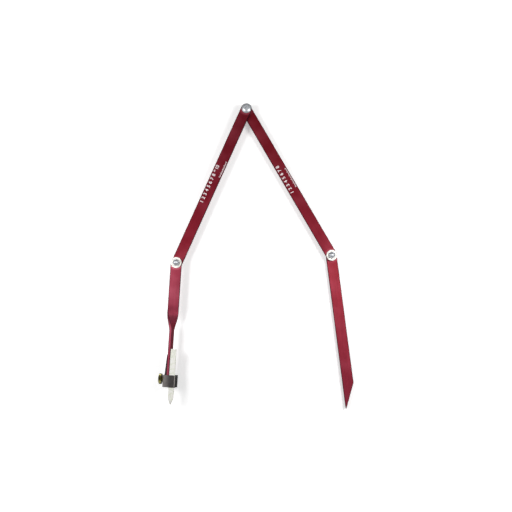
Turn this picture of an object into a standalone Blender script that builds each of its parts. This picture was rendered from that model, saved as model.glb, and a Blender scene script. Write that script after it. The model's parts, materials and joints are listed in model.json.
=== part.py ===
"""Folding radius marker: four flat aluminium bars on three friction pivots, with a scribing point on
one lower leg and a clamp that holds a flat marking stick on the other.

Metres, +Z up. The bars lie level. The origin is on the apex pivot's axis, in the plane that the apex
bolt's end and the right elbow bolt's head reach down to. The legs point towards -Y.
"""

import math

import bmesh
import bpy
from mathutils import Vector

MM = 0.001

# Clearances and modelling steps
GAP = 0.3 * MM
CUT_OVERRUN = 1.0 * MM
WELD_DISTANCE = 0.001 * MM
ROUND_STEPS = 32
BAR_END_STEPS = 20
DOME_STEPS = 5
SHARP_ANGLE = math.radians(35)
BEVEL_ANGLE = math.radians(60)

# The pose in which the tool lies open: each bar's lean from straight down, to the left or the right
UPPER_LEFT_LEAN = math.radians(23.5)
UPPER_RIGHT_LEAN = math.radians(29.6)
HOLDER_LEG_LEAN = math.radians(3.0)
POINT_LEG_LEAN = math.radians(6.7)

# Bars
BAR_WIDTH = 25.4 * MM
BAR_THICKNESS = 6.35 * MM
BAR_EDGE_BREAK = 0.5 * MM
UPPER_ARM_LENGTH = 406.4 * MM
POINT_LEG_LENGTH = 355.6 * MM
POINT_BEVEL_LENGTH = 57.0 * MM
POINT_BLUNT_WIDTH = 1.2 * MM

# The holder leg: a flat length, a twist, and a blade that stands on its edge
FLAT_LENGTH = 98.0 * MM
TWIST_LENGTH = 58.0 * MM
BLADE_LENGTH = 127.0 * MM
TWIST_ANGLE = math.radians(84.0)
TWIST_EASED_SHARE = 0.5
TWIST_STEPS = 20

# Carriage bolts, one at each pivot
SHANK_DIAMETER = 9.5 * MM
SHANK_CHAMFER = 0.9 * MM
HEAD_DIAMETER = 23.6 * MM
HEAD_HEIGHT = 4.4 * MM
HEAD_RIM_HEIGHT = 0.9 * MM
HEAD_LAND_DIAMETER = 11.0 * MM
NECK_SIDE = 10.0 * MM
NECK_HEIGHT = 4.8 * MM

# Washers
WASHER_DIAMETER = 25.4 * MM
WASHER_THICKNESS = 1.6 * MM
WASHER_BORE_PLAY = 0.5 * MM
FRICTION_WASHER_DIAMETER = 22.0 * MM
FRICTION_WASHER_THICKNESS = 2.0 * MM

# Nuts
NUT_FLATS = 14.3 * MM
NUT_CHAMFER = 0.7 * MM
CAP_NUT_HEIGHT = 8.6 * MM
CAP_NUT_HEX_HEIGHT = 4.6 * MM
CAP_NUT_DOME_DIAMETER = 13.2 * MM
CAP_NUT_BORE_DEPTH = 5.5 * MM
CAP_NUT_END_ROOM = 0.5 * MM
LOCK_NUT_HEIGHT = 8.6 * MM
LOCK_NUT_HEX_HEIGHT = 5.4 * MM
LOCK_NUT_COLLAR_DIAMETER = 13.6 * MM
LOCK_NUT_COLLAR_WALL = 0.6 * MM
LOCK_NUT_LIP_HEIGHT = 0.5 * MM
LOCK_NUT_LIP_WIDTH = 0.5 * MM

# The clamp that slides on the blade
SLEEVE_LENGTH = 27.0 * MM
SLEEVE_WALL = 1.6 * MM
SLEEVE_INNER_RADIUS = 1.0 * MM
SLEEVE_CORNER_STEPS = 4
SLEEVE_PLAY = 0.6 * MM
SLEEVE_OVERHANG = 1.5 * MM

# The tapered pad between the thumb screw and the blade
PAD_THICKNESS = 4.0 * MM
PAD_TAIL_THICKNESS = 0.9 * MM
PAD_TAIL_LENGTH = 46.0 * MM
PAD_HEIGHT = 23.0 * MM
PAD_TRAVEL = 1.0 * MM
PAD_EDGE_BREAK = 0.3 * MM

# The thumb screw
SCREW_DIAMETER = 6.35 * MM
SCREW_POINT_DIAMETER = 4.4 * MM
SCREW_POINT_LENGTH = 1.4 * MM
SCREW_FROM_SLEEVE_TOP = 9.5 * MM
SCREW_REACH = 4.5 * MM
THUMB_DIAMETER = 24.0 * MM
THUMB_THICKNESS = 7.0 * MM
THUMB_CHAMFER = 0.8 * MM
THUMB_COLLAR_DIAMETER = 11.0 * MM
THUMB_BOSS_DIAMETER = 9.0 * MM
THUMB_BOSS_HEIGHT = 1.4 * MM
KNURL_DEPTH = 0.45 * MM
KNURL_TEETH = 36

# The flat marking stick
STICK_WIDTH = 12.7 * MM
STICK_THICKNESS = 4.76 * MM
STICK_LENGTH = 124.0 * MM
STICK_OUT = 38.0 * MM
STICK_TAPER_LENGTH = 14.0 * MM
STICK_TIP_WIDTH = 2.0 * MM
STICK_EDGE_BREAK = 0.4 * MM

# Derived sizes and levels
HOLDER_LEG_LENGTH = FLAT_LENGTH + TWIST_LENGTH + BLADE_LENGTH
LEVEL_PITCH = BAR_THICKNESS + FRICTION_WASHER_THICKNESS + 2 * GAP
POINT_LEG_LEVEL = HEAD_HEIGHT + GAP + BAR_THICKNESS / 2
UPPER_RIGHT_LEVEL = POINT_LEG_LEVEL + LEVEL_PITCH
UPPER_LEFT_LEVEL = UPPER_RIGHT_LEVEL + LEVEL_PITCH
HOLDER_LEG_LEVEL = UPPER_LEFT_LEVEL + LEVEL_PITCH
BORE_RADIUS = SHANK_DIAMETER / 2 + GAP
STRAIGHT_DOWN = -math.pi / 2
CLAMP_ROLL = math.pi / 2 - TWIST_ANGLE
STICK_ROOM = GAP + SLEEVE_INNER_RADIUS * (1 - math.sqrt(0.5))


def clear_scene():
    """Removes whatever the opened file holds."""
    for old in list(bpy.data.objects):
        bpy.data.objects.remove(old, do_unlink=True)


def finish(name, colour, roughness, metallic):
    """A plain Principled material of one colour (linear RGB)."""
    material = bpy.data.materials.new(name)
    material.use_nodes = True
    shader = material.node_tree.nodes["Principled BSDF"]
    shader.inputs["Base Color"].default_value = (*colour, 1.0)
    shader.inputs["Roughness"].default_value = roughness
    shader.inputs["Metallic"].default_value = metallic
    return material


def anodised_finish(name):
    return finish(name, (0.28, 0.018, 0.035), 0.42, 0.85)


def zinc_finish(name):
    return finish(name, (0.62, 0.64, 0.66), 0.3, 1.0)


def nylon_finish(name):
    return finish(name, (0.75, 0.74, 0.7), 0.55, 0.0)


def black_oxide_finish(name):
    return finish(name, (0.05, 0.05, 0.048), 0.45, 0.8)


def brass_finish(name):
    return finish(name, (0.55, 0.4, 0.12), 0.35, 1.0)


def soapstone_finish(name):
    return finish(name, (0.78, 0.77, 0.7), 0.7, 0.0)


def frame_at(name, parent, place, turn=(0.0, 0.0, 0.0)):
    """An empty that a group of pieces hangs on."""
    empty = bpy.data.objects.new(name, None)
    bpy.context.scene.collection.objects.link(empty)
    empty.parent = parent
    empty.location = place
    empty.rotation_euler = turn
    return empty


def object_of(name, shape, parent, place, turn=(0.0, 0.0, 0.0)):
    """The object of a bmesh, shaded smooth with its hard edges kept."""
    bmesh.ops.recalc_face_normals(shape, faces=shape.faces)
    mesh = bpy.data.meshes.new(name)
    shape.to_mesh(mesh)
    shape.free()
    mesh.shade_smooth()
    mesh.set_sharp_from_angle(angle=SHARP_ANGLE)
    made = bpy.data.objects.new(name, mesh)
    bpy.context.scene.collection.objects.link(made)
    made.parent = parent
    made.location = place
    made.rotation_euler = turn
    return made


def piece(name, shape, material_maker, parent, place, turn=(0.0, 0.0, 0.0)):
    """A sub-part: an object with a material of its own."""
    made = object_of(name, shape, parent, place, turn)
    made.data.materials.append(material_maker(name + "_finish"))
    return made


def helper(name, shape, parent, place, turn=(0.0, 0.0, 0.0)):
    """A solid that only shapes another one, and isn't part of the tool."""
    made = object_of(name, shape, parent, place, turn)
    made.hide_render = True
    made.display_type = "WIRE"
    return made


def combine(target, other, operation):
    modifier = target.modifiers.new(operation.lower() + "_" + other.name, "BOOLEAN")
    modifier.operation = operation
    modifier.object = other
    modifier.solver = "EXACT"


def ease_edges(target, width):
    """Breaks the square edges by a small flat."""
    modifier = target.modifiers.new("eased_edges", "BEVEL")
    modifier.width = width
    modifier.segments = 1
    modifier.limit_method = "ANGLE"
    modifier.angle_limit = BEVEL_ANGLE


def plate(outline, thickness):
    """A flat plate of this outline, centred on its mid-plane."""
    shape = bmesh.new()
    corners = [shape.verts.new((x, y, -thickness / 2)) for x, y in outline]
    shape.faces.new(corners)
    raised = bmesh.ops.extrude_face_region(shape, geom=list(shape.faces))
    tops = [item for item in raised["geom"] if isinstance(item, bmesh.types.BMVert)]
    bmesh.ops.translate(shape, verts=tops, vec=(0.0, 0.0, thickness))
    return shape


def turned(profile, ring=False, steps=ROUND_STEPS):
    """A profile of (radius, height) points turned about Z. A ring's profile closes on itself."""
    shape = bmesh.new()
    points = [shape.verts.new((radius, 0.0, height)) for radius, height in profile]
    pairs = list(zip(points, points[1:]))
    if ring:
        pairs.append((points[-1], points[0]))
    edges = [shape.edges.new(pair) for pair in pairs]
    bmesh.ops.spin(
        shape,
        geom=points + edges,
        axis=(0.0, 0.0, 1.0),
        cent=(0.0, 0.0, 0.0),
        angle=2 * math.pi,
        steps=steps,
        use_merge=True,
    )
    bmesh.ops.remove_doubles(shape, verts=shape.verts, dist=WELD_DISTANCE)
    return shape


def arc(centre, radius, start, end, steps):
    """Points along an arc, both ends included. Angles are anticlockwise from +X."""
    found = []
    for step in range(steps + 1):
        angle = start + (end - start) * step / steps
        found.append((centre[0] + radius * math.cos(angle), centre[1] + radius * math.sin(angle)))
    return found


def dome_profile(base_radius, base_height, land_radius, top_height):
    """Profile points of a spherical dome, from its base up to the flat land or the pole on its top."""
    rise = top_height - base_height
    ball = math.hypot((base_radius**2 - land_radius**2 - rise**2) / (2 * rise), base_radius)
    centre = base_height + (rise**2 + land_radius**2 - base_radius**2) / (2 * rise)
    first = math.atan2(base_height - centre, base_radius)
    last = math.atan2(top_height - centre, land_radius)
    return arc((0.0, centre), ball, first, last, DOME_STEPS)


def arm_outline(length):
    """A bar with a round end about each of its two pivots."""
    radius = BAR_WIDTH / 2
    far_end = arc((length, 0.0), radius, -math.pi / 2, math.pi / 2, BAR_END_STEPS)
    near_end = arc((0.0, 0.0), radius, math.pi / 2, 3 * math.pi / 2, BAR_END_STEPS)
    return far_end + near_end


def point_leg_outline():
    """A bar with a round end at its pivot, cut on a slant to a point on its inner edge."""
    half = BAR_WIDTH / 2
    near_end = arc((0.0, 0.0), half, math.pi / 2, 3 * math.pi / 2, BAR_END_STEPS)
    shoulder = (POINT_LEG_LENGTH - POINT_BEVEL_LENGTH, half)
    inner_tip = (POINT_LEG_LENGTH, -half)
    outer_tip = (POINT_LEG_LENGTH, -half + POINT_BLUNT_WIDTH)
    return near_end + [inner_tip, outer_tip, shoulder]


def eased_rectangle(half_width, half_height, edge_break):
    """Corner points of a rectangle about the origin with its four corners cut, anticlockwise."""
    near_width = half_width - edge_break
    near_height = half_height - edge_break
    right = [(near_width, -half_height), (half_width, -near_height), (half_width, near_height)]
    right.append((near_width, half_height))
    return right + [(-y, -z) for y, z in right]


def holder_leg_shape():
    """A bar swept along X from a round end: flat, then twisted, then a blade on its edge."""
    half = BAR_WIDTH / 2
    stations = []
    for step in range(BAR_END_STEPS // 2):
        angle = (step + 0.5) / (BAR_END_STEPS // 2) * math.pi / 2
        stations.append((-half * math.cos(angle), half * math.sin(angle), 0.0))
    stations.append((0.0, half, 0.0))
    for step in range(TWIST_STEPS + 1):
        share = step / TWIST_STEPS
        eased_share = share * share * (3 - 2 * share)
        turned_share = share + (eased_share - share) * TWIST_EASED_SHARE
        stations.append((FLAT_LENGTH + share * TWIST_LENGTH, half, turned_share * TWIST_ANGLE))
    stations.append((HOLDER_LEG_LENGTH, half, TWIST_ANGLE))

    shape = bmesh.new()
    sections = []
    for along, wide, twist in stations:
        section = []
        for y, z in eased_rectangle(wide, BAR_THICKNESS / 2, BAR_EDGE_BREAK):
            turned_y = y * math.cos(twist) + z * math.sin(twist)
            turned_z = z * math.cos(twist) - y * math.sin(twist)
            section.append(shape.verts.new((along, turned_y, turned_z)))
        sections.append(section)
    for first, second in zip(sections, sections[1:]):
        for side in range(len(first)):
            after = (side + 1) % len(first)
            shape.faces.new((first[side], first[after], second[after], second[side]))
    shape.faces.new(sections[0])
    shape.faces.new(sections[-1])
    return shape


def drill_shape(radius, depth):
    """A round cutter that runs past both faces of what it bores."""
    half = depth / 2 + CUT_OVERRUN
    return turned([(0.0, -half), (radius, -half), (radius, half), (0.0, half)])


def square_prism(side, height):
    half = side / 2
    return plate(((-half, -half), (half, -half), (half, half), (-half, half)), height)


def bolt_hole(bar, place):
    """Bores the round hole that lets a bar turn on a bolt's shank."""
    drill = helper(bar.name + "_drill", drill_shape(BORE_RADIUS, BAR_THICKNESS), bar.parent, place)
    combine(bar, drill, "DIFFERENCE")


def neck_hole(bar, place):
    """Cuts the square hole that a carriage bolt's neck sits in."""
    punch = square_prism(NECK_SIDE + 2 * GAP, BAR_THICKNESS + 2 * CUT_OVERRUN)
    combine(bar, helper(bar.name + "_punch", punch, bar.parent, place), "DIFFERENCE")


def carriage_bolt(name, parent, place, length, head_up=False):
    """A domed head with a flat land, a square neck and a round shank. Its place is its bearing face."""
    radius = SHANK_DIAMETER / 2
    head = dome_profile(HEAD_DIAMETER / 2, HEAD_RIM_HEIGHT, HEAD_LAND_DIAMETER / 2, HEAD_HEIGHT)
    profile = [(0.0, -HEAD_HEIGHT)]
    profile += [(across, -height) for across, height in reversed(head)]
    profile += [
        (HEAD_DIAMETER / 2, 0.0),
        (radius, 0.0),
        (radius, length - SHANK_CHAMFER),
        (radius - SHANK_CHAMFER, length),
        (0.0, length),
    ]
    turn = (math.pi, 0.0, 0.0) if head_up else (0.0, 0.0, 0.0)
    bolt = piece(name, turned(profile), zinc_finish, parent, place, turn)

    buried = HEAD_RIM_HEIGHT / 2
    neck = square_prism(NECK_SIDE, NECK_HEIGHT + buried)
    rise = (NECK_HEIGHT - buried) / 2
    neck_place = Vector(place) + Vector((0.0, 0.0, -rise if head_up else rise))
    combine(bolt, helper(name + "_neck", neck, parent, neck_place), "UNION")


def washer(name, material_maker, parent, place, diameter, thickness):
    """A flat ring. Its place is the middle of its lower face."""
    inner = BORE_RADIUS + WASHER_BORE_PLAY
    outer = diameter / 2
    profile = [(inner, 0.0), (outer, 0.0), (outer, thickness), (inner, thickness)]
    return piece(name, turned(profile, ring=True), material_maker, parent, place)


def steel_washer(name, parent, place):
    return washer(name, zinc_finish, parent, place, WASHER_DIAMETER, WASHER_THICKNESS)


def friction_washer(name, parent, place):
    return washer(name, nylon_finish, parent, place, FRICTION_WASHER_DIAMETER, FRICTION_WASHER_THICKNESS)


def trim_to_hexagon(nut, height, parent, place):
    """Leaves the six flats of a turned nut blank."""
    corner = NUT_FLATS / math.sqrt(3)
    outline = arc((0.0, 0.0), corner, 0.0, 2 * math.pi, 6)[:-1]
    block = plate(outline, 2 * (height + CUT_OVERRUN))
    combine(nut, helper(nut.name + "_hexagon", block, parent, place), "INTERSECT")


def cap_nut(name, parent, place):
    """A low domed nut with a blind bore. Its place is the middle of its seat."""
    corner = NUT_FLATS / math.sqrt(3)
    dome = dome_profile(CAP_NUT_DOME_DIAMETER / 2, CAP_NUT_HEX_HEIGHT, 0.0, CAP_NUT_HEIGHT)
    profile = [
        (0.0, CAP_NUT_BORE_DEPTH),
        (BORE_RADIUS, CAP_NUT_BORE_DEPTH),
        (BORE_RADIUS, 0.0),
        (corner - NUT_CHAMFER, 0.0),
        (corner, NUT_CHAMFER),
        (corner, CAP_NUT_HEX_HEIGHT - NUT_CHAMFER),
        (corner - NUT_CHAMFER, CAP_NUT_HEX_HEIGHT),
    ]
    nut = piece(name, turned(profile + dome[:-1] + [(0.0, CAP_NUT_HEIGHT)]), zinc_finish, parent, place)
    trim_to_hexagon(nut, CAP_NUT_HEIGHT, parent, place)


def lock_nut(name, parent, place):
    """A hexagon nut whose collar, on its lower side, traps a nylon ring. Its place is its seat."""
    corner = NUT_FLATS / math.sqrt(3)
    collar = LOCK_NUT_COLLAR_DIAMETER / 2
    groove = collar - LOCK_NUT_COLLAR_WALL
    lip = LOCK_NUT_HEIGHT - LOCK_NUT_LIP_HEIGHT
    profile = [
        (BORE_RADIUS, 0.0),
        (corner - NUT_CHAMFER, 0.0),
        (corner, NUT_CHAMFER),
        (corner, LOCK_NUT_HEX_HEIGHT - NUT_CHAMFER),
        (collar, LOCK_NUT_HEX_HEIGHT),
        (collar, LOCK_NUT_HEIGHT),
        (groove - LOCK_NUT_LIP_WIDTH, LOCK_NUT_HEIGHT),
        (groove - LOCK_NUT_LIP_WIDTH, lip),
        (groove, lip),
        (groove, LOCK_NUT_HEX_HEIGHT),
        (BORE_RADIUS, LOCK_NUT_HEX_HEIGHT),
    ]
    downward = [(across, -height) for across, height in profile]
    nut = piece(name, turned(downward, ring=True), zinc_finish, parent, place)
    trim_to_hexagon(nut, LOCK_NUT_HEIGHT, parent, place)

    top = -LOCK_NUT_HEX_HEIGHT - GAP
    bottom = -lip + GAP
    outer = groove - GAP
    ring = [(BORE_RADIUS, bottom), (outer, bottom), (outer, top), (BORE_RADIUS, top)]
    piece(name + "_insert", turned(ring, ring=True), nylon_finish, parent, place)


def flat_bar(name, outline, frame, level):
    """A level bar of this outline, with its edges eased."""
    bar = piece(name, plate(outline, BAR_THICKNESS), anodised_finish, frame, (0.0, 0.0, level))
    ease_edges(bar, BAR_EDGE_BREAK)
    return bar


def upper_left_arm(frame):
    """The upper bar that the apex bolt's neck and the left elbow bolt's neck are held in."""
    arm = flat_bar("upper_left_arm", arm_outline(UPPER_ARM_LENGTH), frame, UPPER_LEFT_LEVEL)
    neck_hole(arm, (0.0, 0.0, UPPER_LEFT_LEVEL))
    neck_hole(arm, (UPPER_ARM_LENGTH, 0.0, UPPER_LEFT_LEVEL))


def upper_right_arm(frame):
    """The upper bar that turns on the apex bolt, with the right elbow bolt at its far end."""
    arm = flat_bar("upper_right_arm", arm_outline(UPPER_ARM_LENGTH), frame, UPPER_RIGHT_LEVEL)
    bolt_hole(arm, (0.0, 0.0, UPPER_RIGHT_LEVEL))
    bolt_hole(arm, (UPPER_ARM_LENGTH, 0.0, UPPER_RIGHT_LEVEL))


def apex_pivot(frame, moving_frame):
    """The bolt through both upper arms, head up, with its washer and lock nut below."""
    bearing = UPPER_LEFT_LEVEL + BAR_THICKNESS / 2 + GAP
    carriage_bolt("apex_bolt", frame, (0.0, 0.0, bearing), bearing, head_up=True)
    between = UPPER_RIGHT_LEVEL + BAR_THICKNESS / 2 + GAP
    friction_washer("apex_friction_washer", moving_frame, (0.0, 0.0, between))
    washer_top = UPPER_RIGHT_LEVEL - BAR_THICKNESS / 2 - GAP
    steel_washer("apex_washer", frame, (0.0, 0.0, washer_top - WASHER_THICKNESS))
    lock_nut("apex_lock_nut", frame, (0.0, 0.0, washer_top - WASHER_THICKNESS - GAP))


def elbow_pivot(side, lower_frame, centre, lower_level, moving_frame, moving_centre):
    """The bolt through two bars, head down, with its friction washer, washer and cap nut.

    lower_frame carries the bar that holds the bolt's neck, and centre is the pivot there;
    moving_frame carries the other bar.
    """
    x, y = centre
    bearing = lower_level - BAR_THICKNESS / 2 - GAP
    between = lower_level + BAR_THICKNESS / 2 + GAP
    upper_face = lower_level + LEVEL_PITCH + BAR_THICKNESS / 2
    seat = upper_face + GAP + WASHER_THICKNESS + GAP
    bolt_end = seat + CAP_NUT_BORE_DEPTH - CAP_NUT_END_ROOM
    carriage_bolt(side + "_elbow_bolt", lower_frame, (x, y, bearing), bolt_end - bearing)
    friction_washer(side + "_elbow_friction_washer", moving_frame, (*moving_centre, between))
    steel_washer(side + "_elbow_washer", lower_frame, (x, y, upper_face + GAP))
    cap_nut(side + "_elbow_cap_nut", lower_frame, (x, y, seat))


def point_leg(frame):
    """The right lower leg, cut to a scribing point."""
    leg = flat_bar("point_leg", point_leg_outline(), frame, POINT_LEG_LEVEL)
    neck_hole(leg, (0.0, 0.0, POINT_LEG_LEVEL))


def holder_leg(frame):
    """The left lower leg, twisted so that its end stands on edge and carries the clamp."""
    level = (0.0, 0.0, HOLDER_LEG_LEVEL)
    leg = piece("holder_leg", holder_leg_shape(), anodised_finish, frame, level)
    bolt_hole(leg, level)


def rounded_rectangle(left, right, bottom, top, radius):
    """Corner points of a rectangle with round corners, anticlockwise."""
    corners = (
        (right - radius, top - radius, 0.0),
        (left + radius, top - radius, math.pi / 2),
        (left + radius, bottom + radius, math.pi),
        (right - radius, bottom + radius, 3 * math.pi / 2),
    )
    found = []
    for x, y, start in corners:
        found += arc((x, y), radius, start, start + math.pi / 2, SLEEVE_CORNER_STEPS)
    return found


def sleeve_sides():
    """The sleeve's inner faces as (screw side, stick side, bottom, top), across and up from the blade."""
    screw_side = -(BAR_THICKNESS / 2 + GAP + PAD_THICKNESS + PAD_TRAVEL + GAP)
    stick_side = BAR_THICKNESS / 2 + GAP + STICK_WIDTH + STICK_ROOM
    reach = BAR_WIDTH / 2 + SLEEVE_PLAY
    return screw_side, stick_side, -reach, reach


def clamp_sleeve(frame):
    """A bent steel loop round the blade, the pad and the stick. It ends past the blade's end."""
    screw_side, stick_side, bottom, top = sleeve_sides()
    inner = rounded_rectangle(screw_side, stick_side, bottom, top, SLEEVE_INNER_RADIUS)
    outer = rounded_rectangle(
        screw_side - SLEEVE_WALL,
        stick_side + SLEEVE_WALL,
        bottom - SLEEVE_WALL,
        top + SLEEVE_WALL,
        SLEEVE_INNER_RADIUS + SLEEVE_WALL,
    )
    shape = bmesh.new()
    loops = []
    for outline in (outer, inner):
        for along in (-SLEEVE_LENGTH, 0.0):
            loops.append([shape.verts.new((along, y, z)) for y, z in outline])
    outer_start, outer_end, inner_start, inner_end = loops
    for first, second in (
        (outer_start, outer_end),
        (inner_start, inner_end),
        (outer_start, inner_start),
        (outer_end, inner_end),
    ):
        for index in range(len(first)):
            after = (index + 1) % len(first)
            shape.faces.new((first[index], first[after], second[after], second[index]))
    sleeve = piece("clamp_sleeve", shape, black_oxide_finish, frame, (SLEEVE_OVERHANG, 0.0, 0.0))

    drill = drill_shape(SCREW_DIAMETER / 2 + GAP, SLEEVE_WALL)
    place = (screw_along(), screw_side - SLEEVE_WALL / 2, 0.0)
    tap_hole = helper("clamp_sleeve_drill", drill, frame, place, (-math.pi / 2, 0.0, 0.0))
    combine(sleeve, tap_hole, "DIFFERENCE")


def screw_along():
    """The screw's place along the leg, from the blade's end."""
    return SLEEVE_OVERHANG - SLEEVE_LENGTH + SCREW_FROM_SLEEVE_TOP


def pressure_pad(frame):
    """A steel pad beside the blade, even within the sleeve and tapered to a thin tail above it."""
    inner = -(BAR_THICKNESS / 2 + GAP)
    outer = inner - PAD_THICKNESS
    sleeve_top = SLEEVE_OVERHANG - SLEEVE_LENGTH
    tail_end = sleeve_top - PAD_TAIL_LENGTH
    outline = [
        (0.0, inner),
        (tail_end, inner),
        (tail_end, inner - PAD_TAIL_THICKNESS),
        (sleeve_top, outer),
        (0.0, outer),
    ]
    on_axis = [(along - screw_along(), across) for along, across in outline]
    pad = piece("pressure_pad", plate(on_axis, PAD_HEIGHT), black_oxide_finish, frame, (0.0, 0.0, 0.0))
    ease_edges(pad, PAD_EDGE_BREAK)


def thumb_screw(frame):
    """A brass screw with a knurled head. Its local Z runs from the head to the point."""
    screw_side, _, _, _ = sleeve_sides()
    seat = screw_side - SLEEVE_WALL - SCREW_REACH
    tip = -(BAR_THICKNESS / 2 + GAP + PAD_THICKNESS + GAP)
    point = tip - SCREW_POINT_LENGTH
    back = seat - THUMB_THICKNESS
    thumb = THUMB_DIAMETER / 2
    profile = [
        (0.0, back - THUMB_BOSS_HEIGHT),
        (THUMB_BOSS_DIAMETER / 2, back - THUMB_BOSS_HEIGHT),
        (THUMB_BOSS_DIAMETER / 2, back),
        (thumb - THUMB_CHAMFER, back),
        (thumb, back + THUMB_CHAMFER),
        (thumb, seat - THUMB_CHAMFER),
        (thumb - THUMB_CHAMFER, seat),
        (THUMB_COLLAR_DIAMETER / 2, seat),
        (THUMB_COLLAR_DIAMETER / 2, seat + SCREW_REACH / 2),
        (SCREW_DIAMETER / 2, seat + SCREW_REACH / 2),
        (SCREW_DIAMETER / 2, point),
        (SCREW_POINT_DIAMETER / 2, point),
        (SCREW_POINT_DIAMETER / 2, tip),
        (0.0, tip),
    ]
    shape = turned(profile, steps=2 * KNURL_TEETH)
    valley_share = 1 - KNURL_DEPTH / thumb
    for corner in shape.verts:
        across = math.hypot(corner.co.x, corner.co.y)
        place_on_rim = round(math.atan2(corner.co.y, corner.co.x) / (math.pi / KNURL_TEETH))
        if across > thumb - WELD_DISTANCE and place_on_rim % 2:
            corner.co.x *= valley_share
            corner.co.y *= valley_share
    piece("thumb_screw", shape, brass_finish, frame, (0.0, 0.0, 0.0), (-math.pi / 2, 0.0, 0.0))


def marking_stick(frame):
    """A flat stick on the blade's inner side, under the sleeve's top wall, worn to a blunt point."""
    _, _, _, ceiling = sleeve_sides()
    near = BAR_THICKNESS / 2 + GAP
    middle = near + STICK_WIDTH / 2
    half = STICK_WIDTH / 2
    half_tip = STICK_TIP_WIDTH / 2
    outline = [
        (-STICK_LENGTH, -half),
        (-STICK_TAPER_LENGTH, -half),
        (0.0, -half_tip),
        (0.0, half_tip),
        (-STICK_TAPER_LENGTH, half),
        (-STICK_LENGTH, half),
    ]
    place = (SLEEVE_OVERHANG + STICK_OUT, middle, ceiling - STICK_ROOM - STICK_THICKNESS / 2)
    stick = piece("marking_stick", plate(outline, STICK_THICKNESS), soapstone_finish, frame, place)
    ease_edges(stick, STICK_EDGE_BREAK)


def build_clamp(leg_frame):
    """Everything that rides on the blade, in a frame at the blade's end that leans as the blade does."""
    place = (HOLDER_LEG_LENGTH, 0.0, HOLDER_LEG_LEVEL)
    slide = frame_at("clamp_slide", leg_frame, place, (CLAMP_ROLL, 0.0, 0.0))
    clamp_sleeve(slide)
    screw_axis = frame_at("screw_axis", slide, (screw_along(), 0.0, 0.0))
    pressure_pad(screw_axis)
    thumb_screw(screw_axis)
    marking_stick(slide)


def main():
    clear_scene()
    left = frame_at("upper_left_frame", None, (0.0, 0.0, 0.0), (0.0, 0.0, STRAIGHT_DOWN - UPPER_LEFT_LEAN))
    right = frame_at("apex_hinge", None, (0.0, 0.0, 0.0), (0.0, 0.0, STRAIGHT_DOWN + UPPER_RIGHT_LEAN))
    elbow = (UPPER_ARM_LENGTH, 0.0, 0.0)
    holder = frame_at("left_elbow_hinge", left, elbow, (0.0, 0.0, UPPER_LEFT_LEAN - HOLDER_LEG_LEAN))
    point = frame_at("right_elbow_hinge", right, elbow, (0.0, 0.0, POINT_LEG_LEAN - UPPER_RIGHT_LEAN))

    upper_left_arm(left)
    upper_right_arm(right)
    apex_pivot(left, right)
    holder_leg(holder)
    elbow_pivot("left", left, (UPPER_ARM_LENGTH, 0.0), UPPER_LEFT_LEVEL, holder, (0.0, 0.0))
    build_clamp(holder)
    point_leg(point)
    elbow_pivot("right", point, (0.0, 0.0), POINT_LEG_LEVEL, right, (UPPER_ARM_LENGTH, 0.0))
    bpy.context.view_layer.update()


main()
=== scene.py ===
"""The looks of a folding radius marker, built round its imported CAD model.

Four anodised aluminium bars turn on three carriage bolts. One lower leg ends in a scribing point. The
other is twisted on edge and carries a steel sleeve, whose brass thumb screw grips a flat soapstone.

Sizes in the dataclasses are millimetres. Each mesh is made in its own bar's or bolt's frame, in
millimetres, and its place is then applied to the mesh, so every finished object sits at the origin.
"""

import json
import logging
import math
from collections.abc import Sequence
from dataclasses import dataclass, field
from enum import Enum

import bmesh
import bpy
from mathutils import Matrix, Vector

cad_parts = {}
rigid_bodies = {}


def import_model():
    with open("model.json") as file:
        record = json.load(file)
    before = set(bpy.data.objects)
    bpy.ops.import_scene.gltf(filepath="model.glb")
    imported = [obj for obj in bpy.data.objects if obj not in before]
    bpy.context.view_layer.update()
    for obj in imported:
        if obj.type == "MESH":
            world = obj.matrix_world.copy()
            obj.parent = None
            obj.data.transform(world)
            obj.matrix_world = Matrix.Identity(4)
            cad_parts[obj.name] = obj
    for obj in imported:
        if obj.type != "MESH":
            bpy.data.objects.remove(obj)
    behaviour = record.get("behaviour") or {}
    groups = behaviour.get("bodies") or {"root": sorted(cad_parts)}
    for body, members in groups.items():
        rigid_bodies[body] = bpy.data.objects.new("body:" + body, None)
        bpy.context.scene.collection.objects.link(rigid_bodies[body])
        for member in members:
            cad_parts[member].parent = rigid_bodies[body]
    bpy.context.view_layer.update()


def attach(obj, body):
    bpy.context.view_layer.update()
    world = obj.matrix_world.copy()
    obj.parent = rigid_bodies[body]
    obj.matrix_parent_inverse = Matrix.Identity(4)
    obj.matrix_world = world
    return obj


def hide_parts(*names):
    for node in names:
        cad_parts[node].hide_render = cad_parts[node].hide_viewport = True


logging.basicConfig(level=logging.INFO, format="%(message)s")
log = logging.getLogger("radius_marker")

MM = 0.001
PLACE_NAME = "place_mm"
WHITE = (1.0, 1.0, 1.0, 1.0)
# Chords round a turned piece, and the angle in degrees above which its edges stay sharp
ROUND_STEPS = 96
TURNED_SHARP = 28.0
# How far ridges are sunk into what they stand on, in millimetres
THREAD_SINK = 0.02
Point = tuple[float, float]


# Colours and material nodes


def linear(hex_colour: str) -> tuple[float, float, float, float]:
    """Turns an sRGB hex colour to linear RGBA.

    Args:
        hex_colour: Six hex digits, with or without a leading #.

    Returns:
        The linear red, green and blue, and an alpha of 1.
    """
    digits = hex_colour.lstrip("#")
    channels = [int(digits[i : i + 2], 16) / 255 for i in (0, 2, 4)]
    red, green, blue = [c / 12.92 if c <= 0.04045 else ((c + 0.055) / 1.055) ** 2.4 for c in channels]
    return red, green, blue, 1.0


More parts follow.
